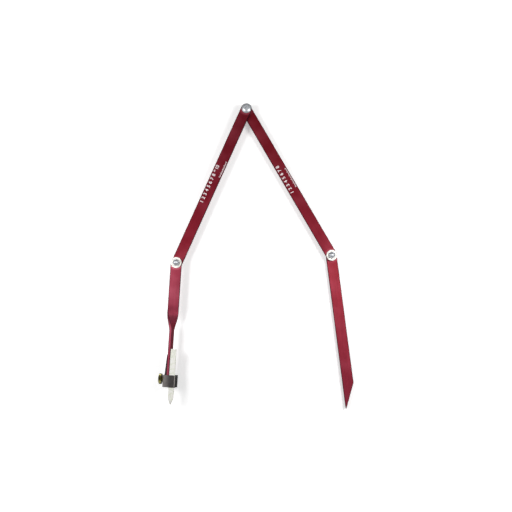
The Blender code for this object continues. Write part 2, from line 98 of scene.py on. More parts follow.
def set_inputs(tree: bpy.types.NodeTree, node: bpy.types.Node, inputs: dict[str | int, object]) -> None:
    """Sets or links a node's input sockets.

    Args:
        tree: The node tree.
        node: The node whose inputs they are.
        inputs: For each input by name or index, a value, an output socket, or a node whose first
            output in use is linked.
    """
    for key, value in inputs.items():
        if isinstance(value, bpy.types.Node):
            value = next(output for output in value.outputs if output.enabled)
        if isinstance(value, bpy.types.NodeSocket):
            tree.links.new(value, node.inputs[key])
        else:
            node.inputs[key].default_value = value


def add_node(
    tree: bpy.types.NodeTree, kind: str, inputs: dict[str | int, object] | None = None, **settings: object
) -> bpy.types.Node:
    """Adds a node, with its settings and its links.

    Args:
        tree: The node tree that takes the node.
        kind: Blender's name for the node type.
        inputs: What goes into its sockets, as set_inputs takes it.
        settings: Attributes of the node, such as its operation.

    Returns:
        The new node.
    """
    node = tree.nodes.new(kind)
    for name, value in settings.items():
        setattr(node, name, value)
    set_inputs(tree, node, inputs or {})
    return node


def laid_over(
    tree: bpy.types.NodeTree,
    under: str | bpy.types.Node,
    over: str,
    measure: bpy.types.Node | bpy.types.NodeSocket,
    span: tuple[float, float],
    shares: tuple[float, float] = (0.0, 1.0),
    eased_ends: bool = False,
) -> bpy.types.Node:
    """Lays one colour over another by what a pattern or a distance measures.

    Args:
        tree: The material's node tree.
        under: The colour below, as a hex value or the node that gives it.
        over: The colour on top, as a hex value.
        measure: What is measured.
        span: The two measures between which the share changes.
        shares: How much of the upper colour shows at each of them.
        eased_ends: Whether the change starts and ends softly.

    Returns:
        The node that gives the mixed colour.
    """
    limits = dict(zip(("From Min", "From Max", "To Min", "To Max"), span + shares))
    share = add_node(
        tree,
        "ShaderNodeMapRange",
        {"Value": measure, **limits},
        interpolation_type="SMOOTHSTEP" if eased_ends else "LINEAR",
    )
    below = linear(under) if isinstance(under, str) else under
    return add_node(tree, "ShaderNodeMix", {0: share, 6: below, 7: linear(over)}, data_type="RGBA")


@dataclass(frozen=True)
class Finish:
    """What every finish shares: its name and how it turns into a material.

    Attributes:
        name: The material's name in the file.
    """

    name: str

    def material(self) -> bpy.types.Material:
        """Builds the material once, and returns the same one after that.

        Returns:
            The finished material.
        """
        made = bpy.data.materials.get(self.name)
        if made is None:
            made = bpy.data.materials.new(self.name)
            made.use_nodes = True
            tree = made.node_tree
            set_inputs(tree, tree.nodes["Principled BSDF"], self.surface(tree))
        return made

    def surface(self, tree: bpy.types.NodeTree) -> dict[str | int, object]:
        """Adds the finish's own nodes.

        Args:
            tree: The material's node tree.

        Returns:
            What goes into the shader's sockets.
        """
        raise NotImplementedError


@dataclass(frozen=True)
class AnodisedAluminium(Finish):
    """Flat bar of aluminium, drawn through a die, brushed lengthwise, then dyed red and sealed.

    The eye gets a deep dyed red with fine lines along the bar and a soft sheen drawn out across them.
    The drawn corners are painted nearly black as shade, and the dye is rubbed thin round the pivots.
    The red is painted lighter or darker along each bar, and from bar to bar, as sheen.

    Attributes:
        near_dye: The colour of the bar's face at its pivot: its dyed red, painted lighter or darker as sheen.
        far_dye: The colour at its other end, likewise dyed red with painted sheen.
        arris: The darker tone of the brush lines, and the painted shade on the drawn corners.
        rubbed: The colour where washers and fingers have rubbed the dye thin.
        bared: The metal in a nick.
        glance: The tint of what the dyed face mirrors at a low angle.
        length_mm: How far the bar goes from its first pivot.
        pivots_mm: Where along the bar its pivots are.
        half_width_mm: Half the bar's width.
        half_thickness_mm: Half its thickness.
        slant: A slanted end's inward direction and its distance from the pivot along it, or zeros.
    """

    near_dye: str
    far_dye: str
    arris: str = "#26101a"
    rubbed: str = "#a8505e"
    bared: str = "#b9a0a4"
    glance: str = "#8a4a58"
    length_mm: float = 406.4
    pivots_mm: tuple[float, ...] = (0.0,)
    half_width_mm: float = 12.7
    half_thickness_mm: float = 3.175
    slant: tuple[float, float, float] = (0.0, 0.0, 0.0)

    def surface(self, tree: bpy.types.NodeTree) -> dict[str | int, object]:
        """Adds painted sheen along the bar, lengthwise brushing, painted shade on the corners, rub rings and
        small nicks to the dyed metal.

        Args:
            tree: The material's node tree.

        Returns:
            What goes into the shader's sockets.
        """
        place = add_node(tree, "ShaderNodeAttribute", attribute_name=PLACE_NAME).outputs["Vector"]
        axes = add_node(tree, "ShaderNodeSeparateXYZ", {0: place})
        # Brush lines 0.6 mm apart and 60 mm long: drawn coarser than the real 0.1 mm, to show at all
        drawn = add_node(tree, "ShaderNodeMapping", {"Vector": place, "Scale": (1 / 60, 1 / 0.6, 1 / 0.6)})
        lines = add_node(tree, "ShaderNodeTexNoise", {"Vector": drawn, "Scale": 1.0, "Detail": 3.0})
        # Clouds of dye about 45 mm across, and specks of handling wear about 1.6 mm across
        clouds = add_node(tree, "ShaderNodeTexNoise", {"Vector": place, "Scale": 1 / 45, "Detail": 2.0})
        specks = add_node(tree, "ShaderNodeTexNoise", {"Vector": place, "Scale": 1 / 1.6, "Detail": 4.0})

        # Painted sheen: the dyed red changes from the near colour to the far colour along the bar
        face = laid_over(tree, self.near_dye, self.far_dye, axes.outputs["X"], (0.0, self.length_mm))
        face = laid_over(tree, face, self.arris, lines, (0.3, 0.7), (0.0, 0.2))
        face = laid_over(tree, face, self.rubbed, clouds, (0.42, 0.75), (0.0, 0.15))
        for pivot in self.pivots_mm:
            # The washer's rim rubs the dye in specks, from 13 to 18 mm off the pivot
            centre = (pivot, 0.0, self.half_thickness_mm)
            reach = add_node(tree, "ShaderNodeVectorMath", {0: place, 1: centre}, operation="DISTANCE")
            ring = add_node(
                tree,
                "ShaderNodeMapRange",
                {"Value": reach, "From Min": 13.0, "From Max": 18.0, "To Min": 0.8, "To Max": 0.0},
            )
            patchy = add_node(tree, "ShaderNodeMath", {0: ring, 1: specks}, operation="MULTIPLY")
            face = laid_over(tree, face, self.rubbed, patchy, (0.0, 1.0))

        inset = self.inset(tree, place, axes)
        # Painted shade along the long corners: 0.9 of the dark colour within 0.5 mm of the edge, none past
        # 1.5 mm
        face = laid_over(tree, face, self.arris, inset, (0.5, 1.5), (0.9, 0.0), eased_ends=True)
        # Nicks that bare the metal, only within a millimetre of a corner
        nicked = add_node(
            tree, "ShaderNodeMapRange", {"Value": specks, "From Min": 0.66, "From Max": 0.7, "To Max": 0.6}
        )
        outer = add_node(
            tree,
            "ShaderNodeMapRange",
            {"Value": inset, "From Min": 0.5, "From Max": 1.1, "To Min": 1.0, "To Max": 0.0},
        )
        nick = add_node(tree, "ShaderNodeMath", {0: nicked, 1: outer}, operation="MULTIPLY")
        face = laid_over(tree, face, self.bared, nick, (0.0, 1.0))

        rough = add_node(
            tree,
            "ShaderNodeMapRange",
            {"Value": lines, "From Min": 0.3, "From Max": 0.7, "To Min": 0.48, "To Max": 0.58},
        )
        relief = add_node(tree, "ShaderNodeBump", {"Strength": 1.0, "Distance": 0.012 * MM, "Height": lines})
        return {
            "Base Color": face,
            "Metallic": 0.85,
            "Roughness": rough,
            "Anisotropic": 0.15,
            "Normal": relief,
            "Specular IOR Level": 0.3,
            "Specular Tint": linear(self.glance),
        }

    def inset(
        self, tree: bpy.types.NodeTree, place: bpy.types.NodeSocket, axes: bpy.types.Node
    ) -> bpy.types.Node:
        """Measures how far a spot of the surface is from the nearest long corner of the bar.

        Args:
            tree: The material's node tree.
            place: The spot on the straight bar.
            axes: The same, as three separate values.

        Returns:
            The node that gives the distance, in millimetres.
        """
        along = add_node(tree, "ShaderNodeClamp", {"Value": axes.outputs["X"], "Max": self.length_mm})
        spine = add_node(tree, "ShaderNodeCombineXYZ", {"X": along, "Z": axes.outputs["Z"]})
        aside = add_node(tree, "ShaderNodeVectorMath", {0: place, 1: spine}, operation="DISTANCE")
        wide = add_node(tree, "ShaderNodeMath", {0: self.half_width_mm, 1: aside}, operation="SUBTRACT")
        if self.slant[2]:
            facing = (self.slant[0], self.slant[1], 0.0)
            depth = add_node(tree, "ShaderNodeVectorMath", {0: place, 1: facing}, operation="DOT_PRODUCT")
            depth = add_node(tree, "ShaderNodeMath", {0: self.slant[2], 1: depth}, operation="SUBTRACT")
            wide = add_node(tree, "ShaderNodeMath", {0: wide, 1: depth}, operation="MINIMUM")
        height = add_node(tree, "ShaderNodeMath", {0: axes.outputs["Z"]}, operation="ABSOLUTE")
        deep = add_node(tree, "ShaderNodeMath", {0: self.half_thickness_mm, 1: height}, operation="SUBTRACT")
        return add_node(tree, "ShaderNodeMath", {0: wide, 1: deep}, operation="MAXIMUM")


@dataclass(frozen=True)
class ZincPlatedSteel(Finish):
    """Cold-headed or stamped steel, barrel-plated with bright zinc.

    The eye gets a blue-grey metal, clouded where the passivation is uneven, with turning rings and
    short scratches from the barrel.

    Attributes:
        bright: The clean plating.
        dull: The clouded plating.
        grime: What collects in the rings.
        scratched: The plating where it is scratched.
    """

    bright: str = "#b4b6b9"
    dull: str = "#85898e"
    grime: str = "#45423f"
    scratched: str = "#dfe3e6"

    def surface(self, tree: bpy.types.NodeTree) -> dict[str | int, object]:
        """Adds clouds, rings and scratches to the plating.

        Args:
            tree: The material's node tree.

        Returns:
            What goes into the shader's sockets.
        """
        place = add_node(tree, "ShaderNodeAttribute", attribute_name=PLACE_NAME).outputs["Vector"]
        # Clouds 4 mm across, grain of 0.7 mm, and barrel scratches 5 mm long
        clouds = add_node(tree, "ShaderNodeTexNoise", {"Vector": place, "Scale": 1 / 4, "Detail": 4.0})
        grain = add_node(tree, "ShaderNodeTexNoise", {"Vector": place, "Scale": 1 / 0.7, "Detail": 3.0})
        askew = add_node(
            tree,
            "ShaderNodeMapping",
            {"Vector": place, "Rotation": (0.0, 0.0, 0.6), "Scale": (1 / 5, 4.0, 1.0)},
        )
        streaks = add_node(tree, "ShaderNodeTexNoise", {"Vector": askew, "Scale": 1.0, "Detail": 2.0})
        flat = add_node(tree, "ShaderNodeMapping", {"Vector": place, "Scale": (1.0, 1.0, 0.0)})
        reach = add_node(tree, "ShaderNodeVectorMath", {0: flat}, operation="LENGTH")
        # Turning rings every 0.9 mm: drawn coarser than the real 0.2 mm, to show at all
        phase = add_node(tree, "ShaderNodeMath", {0: reach, 1: 2 * math.pi / 0.9}, operation="MULTIPLY")
        rings = add_node(tree, "ShaderNodeMath", {0: phase}, operation="SINE")

        colour = laid_over(tree, self.bright, self.dull, clouds, (0.35, 0.65))
        colour = laid_over(tree, colour, self.grime, grain, (0.66, 0.74), (0.0, 0.5))
        colour = laid_over(tree, colour, self.scratched, streaks, (0.62, 0.68), (0.0, 0.4))
        rough = add_node(
            tree,
            "ShaderNodeMapRange",
            {"Value": clouds, "From Min": 0.3, "From Max": 0.7, "To Min": 0.28, "To Max": 0.45},
        )
        height = add_node(tree, "ShaderNodeMath", {0: rings, 1: 0.25, 2: grain}, operation="MULTIPLY_ADD")
        relief = add_node(tree, "ShaderNodeBump", {"Strength": 1.0, "Distance": 0.025 * MM, "Height": height})
        return {"Base Color": colour, "Metallic": 1.0, "Roughness": rough, "Normal": relief}


@dataclass(frozen=True)
class BlackOxideSteel(Finish):
    """Mild steel strip, sheared and bent, then blackened in hot salts and oiled.

    The eye gets a near-black, slightly brown metal with a soft oily sheen. One side is painted lighter grey
    as sheen, a highlight is painted along the bend, and the wall past the bend is painted darker as shade.

    Attributes:
        black: The oxide.
        deep: The painted shade on the wall past the bend.
        rubbed: The lighter grey of the painted sheen, of the rubbed grain and of the reflections' tint.
        bared: The painted highlight along the bend.
        worn_from_mm: Where across the clamp the painted sheen is strongest.
        worn_to_mm: Where it has faded out.
        bend_mm: Where the painted highlight along the bend is; the painted shade starts just past it.
    """

    black: str = "#343232"
    deep: str = "#0b0a0a"
    rubbed: str = "#777370"
    bared: str = "#a39e9a"
    worn_from_mm: float = -10.0
    worn_to_mm: float = 8.0
    bend_mm: float = 16.9

    def surface(self, tree: bpy.types.NodeTree) -> dict[str | int, object]:
        """Adds the painted sheen on the screw side, oil clouds, a rolled grain, the painted highlight along
        the bend and the painted shade past it.

        Args:
            tree: The material's node tree.

        Returns:
            What goes into the shader's sockets.
        """
        place = add_node(tree, "ShaderNodeAttribute", attribute_name=PLACE_NAME).outputs["Vector"]
        axes = add_node(tree, "ShaderNodeSeparateXYZ", {0: place})
        # Patches about 7 mm across, and a grain of 0.8 mm
        patches = add_node(tree, "ShaderNodeTexNoise", {"Vector": place, "Scale": 1 / 7, "Detail": 4.0})
        grain = add_node(tree, "ShaderNodeTexNoise", {"Vector": place, "Scale": 1 / 0.8, "Detail": 2.0})
        # Painted sheen: the screw side is painted lighter grey, in patches, fading out towards the stick side
        sheen_side = {"From Min": self.worn_from_mm, "From Max": self.worn_to_mm}
        side = add_node(
            tree,
            "ShaderNodeMapRange",
            {"Value": axes.outputs["Y"], **sheen_side, "To Min": 0.85, "To Max": 0.0},
            interpolation_type="SMOOTHSTEP",
        )
        patchy = add_node(
            tree, "ShaderNodeMapRange", {"Value": patches, "From Min": 0.3, "From Max": 0.7, "To Min": 0.45}
        )
        wear = add_node(tree, "ShaderNodeMath", {0: side, 1: patchy}, operation="MULTIPLY")
        across = add_node(
            tree, "ShaderNodeMath", {0: axes.outputs["Y"], 1: self.bend_mm}, operation="SUBTRACT"
        )
        off_bend = add_node(tree, "ShaderNodeMath", {0: across}, operation="ABSOLUTE")

        # The painted sheen laid over the oxide
        colour = laid_over(tree, self.black, self.rubbed, wear, (0.0, 1.0))
        colour = laid_over(tree, colour, self.rubbed, grain, (0.6, 0.75), (0.0, 0.25))
        # A highlight is painted along the bend over 1.6 mm, and shade is painted on the wall past it
        colour = laid_over(tree, colour, self.deep, across, (0.8, 1.2), (0.0, 0.8))
        colour = laid_over(tree, colour, self.bared, off_bend, (0.3, 0.8), (0.8, 0.0))
        rough = add_node(
            tree,
            "ShaderNodeMapRange",
            {"Value": patches, "From Min": 0.3, "From Max": 0.7, "To Min": 0.42, "To Max": 0.58},
        )
        relief = add_node(tree, "ShaderNodeBump", {"Strength": 1.0, "Distance": 0.03 * MM, "Height": grain})
        return {
            "Base Color": colour,
            "Metallic": 0.6,
            "Roughness": rough,
            "Normal": relief,
            "Specular IOR Level": 0.25,
            "Specular Tint": linear(self.rubbed),
        }


@dataclass(frozen=True)
class TarnishedBrass(Finish):
    """Free-cutting brass, turned and knurled, then handled until it is dull.

    The eye gets an olive metal where fingers polish the high places, and a dark film in the low ones.

    Attributes:
        polished: The handled brass.
        tarnish: The dark film.
        dirt: What is packed between the ridges.
    """

    polished: str = "#8f8a55"
    tarnish: str = "#38341f"
    dirt: str = "#211d10"

    def surface(self, tree: bpy.types.NodeTree) -> dict[str | int, object]:
        """Adds the tarnish, the dirt and the turning marks.

        Args:
            tree: The material's node tree.

        Returns:
            What goes into the shader's sockets.
        """
        place = add_node(tree, "ShaderNodeAttribute", attribute_name=PLACE_NAME).outputs["Vector"]
        # Clouds about 5 mm across, and a grain of 0.6 mm
        clouds = add_node(tree, "ShaderNodeTexNoise", {"Vector": place, "Scale": 1 / 5, "Detail": 4.0})
        grain = add_node(tree, "ShaderNodeTexNoise", {"Vector": place, "Scale": 1 / 0.6, "Detail": 3.0})
        colour = laid_over(tree, self.polished, self.tarnish, clouds, (0.32, 0.62), (0.3, 0.95))
        colour = laid_over(tree, colour, self.dirt, grain, (0.55, 0.7), (0.0, 0.6))
        rough = add_node(
            tree,
            "ShaderNodeMapRange",
            {"Value": clouds, "From Min": 0.3, "From Max": 0.7, "To Min": 0.26, "To Max": 0.45},
        )
        relief = add_node(tree, "ShaderNodeBump", {"Strength": 1.0, "Distance": 0.03 * MM, "Height": grain})
        return {"Base Color": colour, "Metallic": 1.0, "Roughness": rough, "Normal": relief}


@dataclass(frozen=True)
class Soapstone(Finish):
    """A flat stick sawn from talc rock and worn to a point.

    The eye gets a chalky white with a faint green-grey vein, saw lines, powder in the hollows and a
    grey, soiled tip.

    Attributes:
        chalk: The clean stone.
        vein: The veins through it.
        powder: The dust on it.
        soiled: The end that has been rubbed on steel.
        tip_mm: How far back from the tip the soiling goes.
    """

    chalk: str = "#edece6"
    vein: str = "#dadecb"
    powder: str = "#f7f6f2"
    soiled: str = "#d8d7d0"
    tip_mm: float = 13.0

    def surface(self, tree: bpy.types.NodeTree) -> dict[str | int, object]:
        """Adds the veins, the saw lines and the soiled tip to the stone.

        Args:
            tree: The material's node tree.

        Returns:
            What goes into the shader's sockets.
        """
        place = add_node(tree, "ShaderNodeAttribute", attribute_name=PLACE_NAME).outputs["Vector"]
        axes = add_node(tree, "ShaderNodeSeparateXYZ", {0: place})
        # Veins that wander over 18 mm, dust in grains of 0.9 mm
        drift = add_node(tree, "ShaderNodeTexNoise", {"Vector": place, "Scale": 1 / 18, "Detail": 4.0})
        dust = add_node(tree, "ShaderNodeTexNoise", {"Vector": place, "Scale": 1 / 0.9, "Detail": 3.0})
        middle = add_node(tree, "ShaderNodeMath", {0: drift, 1: 0.5}, operation="SUBTRACT")
        apart = add_node(tree, "ShaderNodeMath", {0: middle}, operation="ABSOLUTE")
        colour = laid_over(tree, self.chalk, self.vein, apart, (0.0, 0.06), (0.75, 0.0), eased_ends=True)
        colour = laid_over(tree, colour, self.powder, dust, (0.52, 0.72), (0.0, 0.5))
        colour = laid_over(tree, colour, self.soiled, axes.outputs["X"], (-self.tip_mm, 0.0), eased_ends=True)
        # Saw lines every 1.5 mm across the stick
        phase = add_node(
            tree, "ShaderNodeMath", {0: axes.outputs["X"], 1: 2 * math.pi / 1.5}, operation="MULTIPLY"
        )
        sawn = add_node(tree, "ShaderNodeMath", {0: phase}, operation="SINE")
        height = add_node(tree, "ShaderNodeMath", {0: sawn, 1: 0.15, 2: dust}, operation="MULTIPLY_ADD")
        relief = add_node(tree, "ShaderNodeBump", {"Strength": 1.0, "Distance": 0.05 * MM, "Height": height})
        return {
            "Base Color": colour,
            "Roughness": 0.72,
            "Normal": relief,
            "Subsurface Weight": 0.08,
            "Subsurface Radius": (2.0 * MM, 2.0 * MM, 1.5 * MM),
        }


@dataclass(frozen=True)
class Nylon(Finish):
    """Natural nylon, moulded or stamped from sheet.

    The eye gets a milky off-white with a waxy sheen, and a cloud of grey where metal has rubbed.

    Attributes:
        milk: The clean plastic.
        rubbed: The greyed plastic.
    """

    milk: str = "#e4e1d6"
    rubbed: str = "#b0aca1"

    def surface(self, tree: bpy.types.NodeTree) -> dict[str | int, object]:
        """Adds the rubbed clouds and a fine pebble.

        Args:
            tree: The material's node tree.

        Returns:
            What goes into the shader's sockets.
        """
        place = add_node(tree, "ShaderNodeAttribute", attribute_name=PLACE_NAME).outputs["Vector"]
        # Clouds about 5 mm across, and pebbles of 0.5 mm
        clouds = add_node(tree, "ShaderNodeTexNoise", {"Vector": place, "Scale": 1 / 5, "Detail": 3.0})
        pebble = add_node(tree, "ShaderNodeTexNoise", {"Vector": place, "Scale": 1 / 0.5, "Detail": 2.0})
        colour = laid_over(tree, self.milk, self.rubbed, clouds, (0.45, 0.7), (0.0, 0.6))
        rough = add_node(
            tree,
            "ShaderNodeMapRange",
            {"Value": clouds, "From Min": 0.3, "From Max": 0.7, "To Min": 0.42, "To Max": 0.58},
        )
        relief = add_node(tree, "ShaderNodeBump", {"Strength": 1.0, "Distance": 0.01 * MM, "Height": pebble})
        return {
            "Base Color": colour,
            "Roughness": rough,
            "Normal": relief,
            "Subsurface Weight": 0.15,
            "Subsurface Radius": (MM, MM, MM),
        }


@dataclass(frozen=True)
class ScreenInk(Finish):
    """White epoxy ink, screen-printed on the anodised face and baked.

    The eye gets a flat white, greyed and thinned where it is rubbed.

    Attributes:
        ink: The full-strength ink.
        thin: The rubbed ink, with the red showing through.
    """

    ink: str = "#efe9ea"
    thin: str = "#bd959d"

    def surface(self, tree: bpy.types.NodeTree) -> dict[str | int, object]:
        """Adds the rubbed patches, about 3 mm across.

        Args:
            tree: The material's node tree.

        Returns:
            What goes into the shader's sockets.
        """
        place = add_node(tree, "ShaderNodeAttribute", attribute_name=PLACE_NAME).outputs["Vector"]
        rub = add_node(tree, "ShaderNodeTexNoise", {"Vector": place, "Scale": 1 / 3, "Detail": 4.0})
        colour = laid_over(tree, self.ink, self.thin, rub, (0.5, 0.68), (0.0, 0.5))
        return {"Base Color": colour, "Roughness": 0.5}


@dataclass(frozen=True)
class StudioPaper(Finish):
    """White background paper, matt, that the camera sees as white while it still takes a shadow.

    Attributes:
        paper: The paper's colour.
        lift: How much the paper under the tool glows to the eye and in reflections.
        middle: The middle of the tool, in metres.
        lit: How far round the middle the lamps light the paper in full, in metres.
        unlit: How far off they no longer reach, in metres.
    """

    paper: str = "#f2f2f2"
    lift: float = 0.42
    middle: tuple[float, float, float] = (0.0, -0.35, 0.0)
    lit: float = 0.4
    unlit: float = 0.9

    def surface(self, tree: bpy.types.NodeTree) -> dict[str | int, object]:
        """Adds a glow that only the camera, reflections and refractions see, and a faint tooth.

        Args:
            tree: The material's node tree.

        Returns:
            What goes into the shader's sockets.
        """
        place = add_node(tree, "ShaderNodeTexCoord").outputs["Object"]
        # A tooth of 1.5 mm: drawn coarser than the real 0.3 mm, to show at all
        fine = {"Vector": place, "Scale": 1 / (1.5 * MM), "Detail": 3.0}
        tooth = add_node(tree, "ShaderNodeTexNoise", fine)
        relief = add_node(tree, "ShaderNodeBump", {"Strength": 1.0, "Distance": 0.01 * MM, "Height": tooth})
        path = add_node(tree, "ShaderNodeLightPath")
        seen = path.outputs["Is Camera Ray"]
        for ray in ("Is Glossy Ray", "Is Transmission Ray"):
            seen = add_node(tree, "ShaderNodeMath", {0: seen, 1: path.outputs[ray]}, operation="MAXIMUM")
        # The lamps reach only the paper round the tool, so it glows more from there outwards
        reach = add_node(tree, "ShaderNodeVectorMath", {0: place, 1: self.middle}, operation="DISTANCE")
        limits = {"From Min": self.lit, "From Max": self.unlit, "To Min": self.lift}
        lift = add_node(
            tree, "ShaderNodeMapRange", {"Value": reach, **limits}, interpolation_type="SMOOTHSTEP"
        )
        glow = add_node(tree, "ShaderNodeMath", {0: seen, 1: lift}, operation="MULTIPLY")
        return {
            "Base Color": linear(self.paper),
            "Roughness": 0.9,
            "Specular IOR Level": 0.0,
            "Normal": relief,
            "Emission Color": WHITE,
            "Emission Strength": glow,
        }


# Meshes


def arc(centre: Point, radius: float, start: float, end: float, steps: int) -> list[Point]:
    """Points along an arc.

    Args:
        centre: The arc's centre.
        radius: Its radius.
        start: The first point's angle, anticlockwise from +X.
        end: The last point's angle.
        steps: How many chords it has.

    Returns:
        The points, both ends included.
    """
    angles = [start + (end - start) * step / steps for step in range(steps + 1)]
    return [(centre[0] + radius * math.cos(a), centre[1] + radius * math.sin(a)) for a in angles]


def filleted(
    corners: Sequence[tuple[float, float, float]], steps: int = 4, closed: bool = True
) -> list[Point]:
    """Rounds the corners of a polyline.

    Args:
        corners: Each corner as x, y and the radius of its fillet, or 0 for a sharp one.
        steps: How many chords a fillet has.
        closed: Whether the last corner joins the first.

    Returns:
        The rounded outline.
    """
    found: list[Point] = []
    count = len(corners)
    for index, (x, y, radius) in enumerate(corners):
        ends = not closed and index in (0, count - 1)
        here = Vector((x, y))
        if radius <= 0 or ends:
            found.append((x, y))
            continue
        before = Vector(corners[index - 1][:2]) - here
        after = Vector(corners[(index + 1) % count][:2]) - here
        opening = before.angle(after)
        if opening > math.radians(179) or before.length < 1e-9 or after.length < 1e-9:
            found.append((x, y))
            continue
        reach = min(radius / math.tan(opening / 2), 0.48 * before.length, 0.48 * after.length)
        first = here + before.normalized() * reach
        last = here + after.normalized() * reach
        for step in range(steps + 1):
            t = step / steps
            spot = first * (1 - t) ** 2 + here * 2 * t * (1 - t) + last * t**2
            found.append((spot.x, spot.y))
    return found


def lathe(profile: Sequence[Point], ring: bool = False) -> bmesh.types.BMesh:
    """Turns a profile about Z.

    Args:
        profile: Points of (radius, height), in millimetres.
        ring: Whether the profile closes on itself, as a washer's does.

    Returns:
        The closed body.
    """
    shape = bmesh.new()
    points = [shape.verts.new((radius, 0.0, height)) for radius, height in profile]
    pairs = list(zip(points, points[1:]))
    if ring:
        pairs.append((points[-1], points[0]))
    edges = [shape.edges.new(pair) for pair in pairs]
    bmesh.ops.spin(
        shape,
        geom=points + edges,
        axis=(0.0, 0.0, 1.0),
        cent=(0.0, 0.0, 0.0),
        angle=2 * math.pi,
        steps=ROUND_STEPS,
        use_merge=True,
    )
    bmesh.ops.remove_doubles(shape, verts=shape.verts, dist=1e-5)
    bmesh.ops.recalc_face_normals(shape, faces=shape.faces)
    return shape


def prism(outline: Sequence[Point], bottom: float, top: float) -> bmesh.types.BMesh:
    """Raises a flat outline into a solid.

    Args:
        outline: The outline's points, anticlockwise, in millimetres.
        bottom: The height of its lower face.
        top: The height of its upper face.

    Returns:
        The closed body.
    """
    shape = bmesh.new()
    lower = [shape.verts.new((x, y, bottom)) for x, y in outline]
    upper = [shape.verts.new((x, y, top)) for x, y in outline]
    shape.faces.new(list(reversed(lower)))
    shape.faces.new(upper)
    for index in range(len(outline)):
        after = (index + 1) % len(outline)
        shape.faces.new((lower[index], lower[after], upper[after], upper[index]))
    bmesh.ops.recalc_face_normals(shape, faces=shape.faces)
    return shape


def rectangle(
    left: float, right: float, bottom: float, top: float, radius: float, steps: int = 4
) -> list[Point]:
    """A rectangle with rounded corners, anticlockwise from its lower left."""
    corners = ((left, bottom), (right, bottom), (right, top), (left, top))
    return filleted([(*corner, radius) for corner in corners], steps)


def lofted(sections: Sequence[Sequence[Vector]], ring: bool = False) -> bmesh.types.BMesh:
    """Joins a row of closed sections with the same number of points.

    Args:
        sections: Each section's points, in millimetres.
        ring: Whether the last section joins the first. If not, both ends are closed.

    Returns:
        The closed body.
    """
    shape = bmesh.new()
    loops = [[shape.verts.new(spot) for spot in section] for section in sections]
    if ring:
        loops.append(loops[0])
    for first, second in zip(loops, loops[1:]):
        for index in range(len(first)):
            after = (index + 1) % len(first)
            shape.faces.new((first[index], first[after], second[after], second[index]))
    if not ring:
        shape.faces.new(loops[0])
        shape.faces.new(loops[-1])
    bmesh.ops.recalc_face_normals(shape, faces=shape.faces)
    return shape


def loose_object(name: str, shape: bmesh.types.BMesh, smooth_below: float = 35.0) -> bpy.types.Object:
    """Makes an object of a bmesh, in millimetres, at the origin.

    Args:
        name: The object's name.
        shape: The bmesh, which is freed.
        smooth_below: Edges that turn more than this many degrees stay sharp.

    Returns:
        The object.
    """
    mesh = bpy.data.meshes.new(name)
    shape.to_mesh(mesh)
    shape.free()
    mesh.shade_smooth()
    mesh.set_sharp_from_angle(angle=math.radians(smooth_below))
    made = bpy.data.objects.new(name, mesh)
    bpy.context.scene.collection.objects.link(made)
    return made


def eased(target: bpy.types.Object, width: float, segments: int = 3) -> None:
    """Rounds an object's hard edges.

    Args:
        target: The object.
        width: The rounding's width, in the object's own units.
        segments: How many faces it has.
    """
    modifier = target.modifiers.new("eased_edges", "BEVEL")
    modifier.width = width
    modifier.segments = segments
    modifier.limit_method = "ANGLE"
    modifier.angle_limit = math.radians(40)


def cut(target: bpy.types.Object, tool: bpy.types.Object, operation: str = "DIFFERENCE") -> None:
    """Combines an object with another one, which is used up.

    Args:
        target: The object that is kept.
        tool: The other one.
        operation: DIFFERENCE, INTERSECT or UNION.
    """
    modifier = target.modifiers.new("cut", "BOOLEAN")
    modifier.operation = operation
    modifier.solver = "EXACT"
    modifier.object = tool
    settle(target)
    bpy.data.objects.remove(tool, do_unlink=True)


def settle(target: bpy.types.Object) -> None:
    """Turns an object's modifiers into plain mesh.

    Args:
        target: The object, whose old mesh is removed.
    """
    graph = bpy.context.evaluated_depsgraph_get()
    graph.update()
    shown = target.evaluated_get(graph)
    made = bpy.data.meshes.new_from_object(shown, preserve_all_data_layers=True, depsgraph=graph)
    target.modifiers.clear()
    old = target.data
    target.data = made
    bpy.data.meshes.remove(old)


def joined(target: bpy.types.Object, others: Sequence[bpy.types.Object]) -> None:
    """Adds the meshes of other objects to one, as separate shells of the same piece.

    Args:
        target: The object that is kept.
        others: The objects that are used up.
    """
    chosen = [target, *others]
    with bpy.context.temp_override(
        active_object=target, selected_editable_objects=chosen, selected_objects=chosen
    ):
        bpy.ops.object.join()


class GeometryTree:
    """A Geometry Nodes tree with named inputs, whose result ends as plain mesh."""

    def __init__(self, name: str, inputs: dict[str, tuple[str, object]]) -> None:
        """Starts the tree.

        Args:
            name: The tree's name.
            inputs: For each input's name, its socket type and the value it starts with.
        """
        self.tree = bpy.data.node_groups.new(name, "GeometryNodeTree")
        face = self.tree.interface
        face.new_socket("Geometry", in_out="OUTPUT", socket_type="NodeSocketGeometry")
        face.new_socket("Shape", in_out="INPUT", socket_type="NodeSocketGeometry")
        self.identifiers: dict[str, str] = {}
        for label, (kind, value) in (inputs | {"Material": ("NodeSocketMaterial", None)}).items():
            socket = face.new_socket(label, in_out="INPUT", socket_type=kind)
            if value is not None:
                socket.default_value = value
            self.identifiers[label] = socket.identifier
        self.given = self.tree.nodes.new("NodeGroupInput").outputs

    def close(self, geometry: bpy.types.Node) -> None:
        """Ends the tree: instances become real, and the material is set.

        Args:
            geometry: The node that gives what the tree has made.
        """
        real = add_node(self.tree, "GeometryNodeRealizeInstances", {0: geometry})
        dressed = add_node(
            self.tree, "GeometryNodeSetMaterial", {"Geometry": real, "Material": self.given["Material"]}
        )
        add_node(self.tree, "NodeGroupOutput", {0: dressed})

    def run(self, holder: bpy.types.Object, values: dict[str, object]) -> bpy.types.Object:
        """Runs the tree on an object and keeps its result there as plain mesh.

        Args:
            holder: The object, whose own mesh goes into the tree's Shape input.
            values: What goes into the tree's other inputs.

        Returns:
            The same object, with no modifier.
        """
        modifier = holder.modifiers.new(self.tree.name, "NODES")
        modifier.node_group = self.tree
        for label, value in values.items():
            modifier[self.identifiers[label]] = value
        settle(holder)
        return holder


